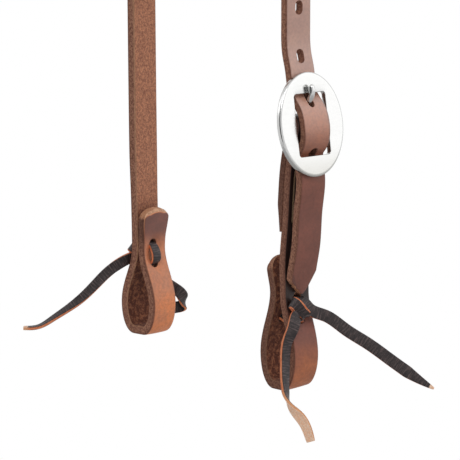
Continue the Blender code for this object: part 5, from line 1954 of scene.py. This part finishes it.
@dataclass
class Studio:
    """A pale floor, a white backdrop and large soft lamps."""

    floor_drop: float = 750 * MM
    floor_radius: float = 1.05
    floor_sides: int = 96
    surroundings: float = 0.24
    screen_from: float = -28.0
    screen_to: float = 38.0
    screen_heights: tuple = (-1.3, 1.9)
    screen_reach: float = 2.7
    screen_steps: int = 12
    middle: Colour = (0.0, 0.0, -0.33)

    def world(self) -> None:
        """White where the camera and polished metal look, and softer as a light."""
        world = bpy.data.worlds.new("studio")
        bpy.context.scene.world = world
        world.use_nodes = True
        nodes = Nodes(world.node_tree)
        light = nodes.add("ShaderNodeLightPath")
        shiny = nodes.sum("MAXIMUM", light["Is Glossy Ray"], light["Is Transmission Ray"])
        seen = nodes.sum("MAXIMUM", light["Is Camera Ray"], shiny)
        strength = nodes.add("ShaderNodeMapRange", {"Value": seen, "To Min": self.surroundings, "To Max": 1.0})
        background = nodes.tree.nodes["Background"].inputs
        nodes.join((255, 255, 255), background["Color"])
        nodes.join(strength[0], background["Strength"])

    @staticmethod
    def staged(name: str, points: Points, faces: list, finish: Material) -> Object:
        """A part of the stage, from its points and faces.

        Args:
            name: the object's name.
            points: its points.
            faces: its faces, as lists of point numbers.
            finish: its only material.

        Returns:
            The new object.
        """
        mesh = bpy.data.meshes.new(name)
        mesh.from_pydata(points, [], faces)
        piece = dressed(name, mesh, [finish])
        return piece

    def floor(self) -> None:
        """A round pale floor that takes the object's shadow and turns to plain white towards its rim."""
        made = Recipe("pale_floor")
        made.finish((244, 244, 244), 0.9, None, Specular_IOR_Level=0.1)
        far = made.add("ShaderNodeVectorMath", {0: made.stretched(made.place, 1, 1, 0)}, operation="LENGTH")
        fade = made.between(far["Value"], 0.45 * self.floor_radius, 0.95 * self.floor_radius)
        glow = made.add("ShaderNodeEmission")[0]
        mixed = made.add("ShaderNodeMixShader", {"Fac": fade, 1: made.shader.outputs[0], 2: glow})
        made.join(mixed[0], made.tree.nodes["Material Output"].inputs["Surface"])
        radii = np.linspace(0, self.floor_radius, 8)[1:]
        rings = circle(all_round(self.floor_sides))[None] * radii[:, None, None]
        quads = grid_faces(len(radii) - 1, len(radii), self.floor_sides)[:, [0, 3, 2, 1]]
        points = np.insert(rings.reshape(-1, 2), 2, -self.floor_drop, axis=1)
        self.staged("floor", points, [*quads.tolist(), list(range(self.floor_sides))], made.material)

    def dark_screen(self) -> None:
        """A dark screen round the back of the camera, which only polished metal shows.

        It is part of an upright cylinder about the object, from one side of the camera to the other.
        """
        made = Recipe("dark_screen")
        made.finish((128, 128, 130), 0.9, None, Specular_IOR_Level=0.0)
        turns = np.radians(np.linspace(self.screen_from, self.screen_to, self.screen_steps + 1))
        around = np.stack([np.sin(turns), -np.cos(turns)], -1) * self.screen_reach
        points = np.concatenate([np.insert(around, 2, height, axis=1) for height in self.screen_heights])
        i, up = np.arange(self.screen_steps), self.screen_steps + 1
        quads = np.stack([i, i + 1, i + 1 + up, i + up], -1)
        screen = self.staged("dark_screen", points, quads.tolist(), made.material)
        screen.visible_camera = screen.visible_diffuse = screen.visible_shadow = False

    def light(self) -> None:
        """One big lamp above and to the front, one at the near side and a weak one from the off side."""
        for name, place, size, power in (
            ("key", (0.9, -1.1, 1.1), 1.1, 13.5),
            ("near_side", (1.25, 1.08, 0.6), 2.3, 13),
            ("off_side", (-1.2, -1.1, 0.4), 0.9, 3),
        ):
            lamp = bpy.data.lights.new(name, "AREA")
            lamp.size, lamp.energy = size, power
            aimed(name, lamp, place, self.middle)


@dataclass
class View:
    """The photograph's camera."""

    eye: Colour = (1.5361, -1.3269, -0.0532)
    target: Colour = (0.009755, 0.0, -0.388)
    lens: float = 308.0

    def make(self) -> None:
        """Makes the camera and gives it to the scene."""
        camera = bpy.data.cameras.new("camera")
        camera.lens, camera.sensor_width, camera.clip_end = self.lens, 36, 50
        bpy.context.scene.camera = aimed("camera", camera, self.eye, self.target)


@dataclass
class Headstall:
    """The whole headstall: every piece built and dressed, and all but the two long straps given to their bodies."""

    finishes: Finishes = field(default_factory=Finishes)

    def bend(self, piece: Object, body: str, node: str, slot: str, side: int) -> None:
        """Hides the crown strap and a side's node, sets the strap's place into its mesh and logs it.

        Args:
            piece: the built strap.
            body: the side's body; not used.
            node: the side's node.
            slot: its record slot; not used.
            side: 1 for the near side and -1 for the off side; not used.
        """
        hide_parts("crown_strap", node)
        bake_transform(piece)
        report(piece)

    def give(self, piece: Object, body: str, node: str) -> None:
        """Gives a piece to its body, in place of a node."""
        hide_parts(node)
        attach(piece, body)
        report(piece)

    def build(self) -> None:
        """Builds the two halves of the long strap, the near cheek, the buckle, the thread and the two ties."""
        made = self.finishes
        self.bend(OffStrap().build(made), "off_cheek", "off_cheek_strap", "off_cheek_leather", -1)
        self.bend(NearStrap().build(made), "near_billet", "near_billet_strap", "billet_leather", 1)
        self.give(NearCheek().build(made), "near_cheek", "near_cheek_strap")
        self.give(BucklePlate().build(made), "near_billet", "buckle_plate")
        self.give(BuckleBar().build(made), "near_billet", "buckle_bar")
        self.give(BuckleTongue().build(made), "tongue", "buckle_tongue")
        self.give(Stitching().build(made), "near_cheek", "fold_stitching")
        self.give(NEAR_TIE.build(made), "near_cheek", "near_bit_tie")
        self.give(OFF_TIE.build(made, turned), "off_cheek", "off_bit_tie")


def report(piece: Object) -> None:
    """Logs a piece's name, faces and size."""
    corners = np.array([tuple(corner) for corner in piece.bound_box])
    size = (corners.max(0) - corners.min(0)) / MM
    log.info("%s: %d faces, %.1f x %.1f x %.1f mm", piece.name, len(piece.data.polygons), *size)


def main() -> None:
    """Builds the headstall, its studio and its camera."""
    logging.basicConfig(level=logging.INFO, format="%(name)s: %(message)s")
    bpy.context.scene.view_settings.view_transform = "Standard"
    Headstall().build()
    studio = Studio()
    studio.world()
    studio.floor()
    studio.dark_screen()
    studio.light()
    View().make()


if __name__ == "__main__":
    main()
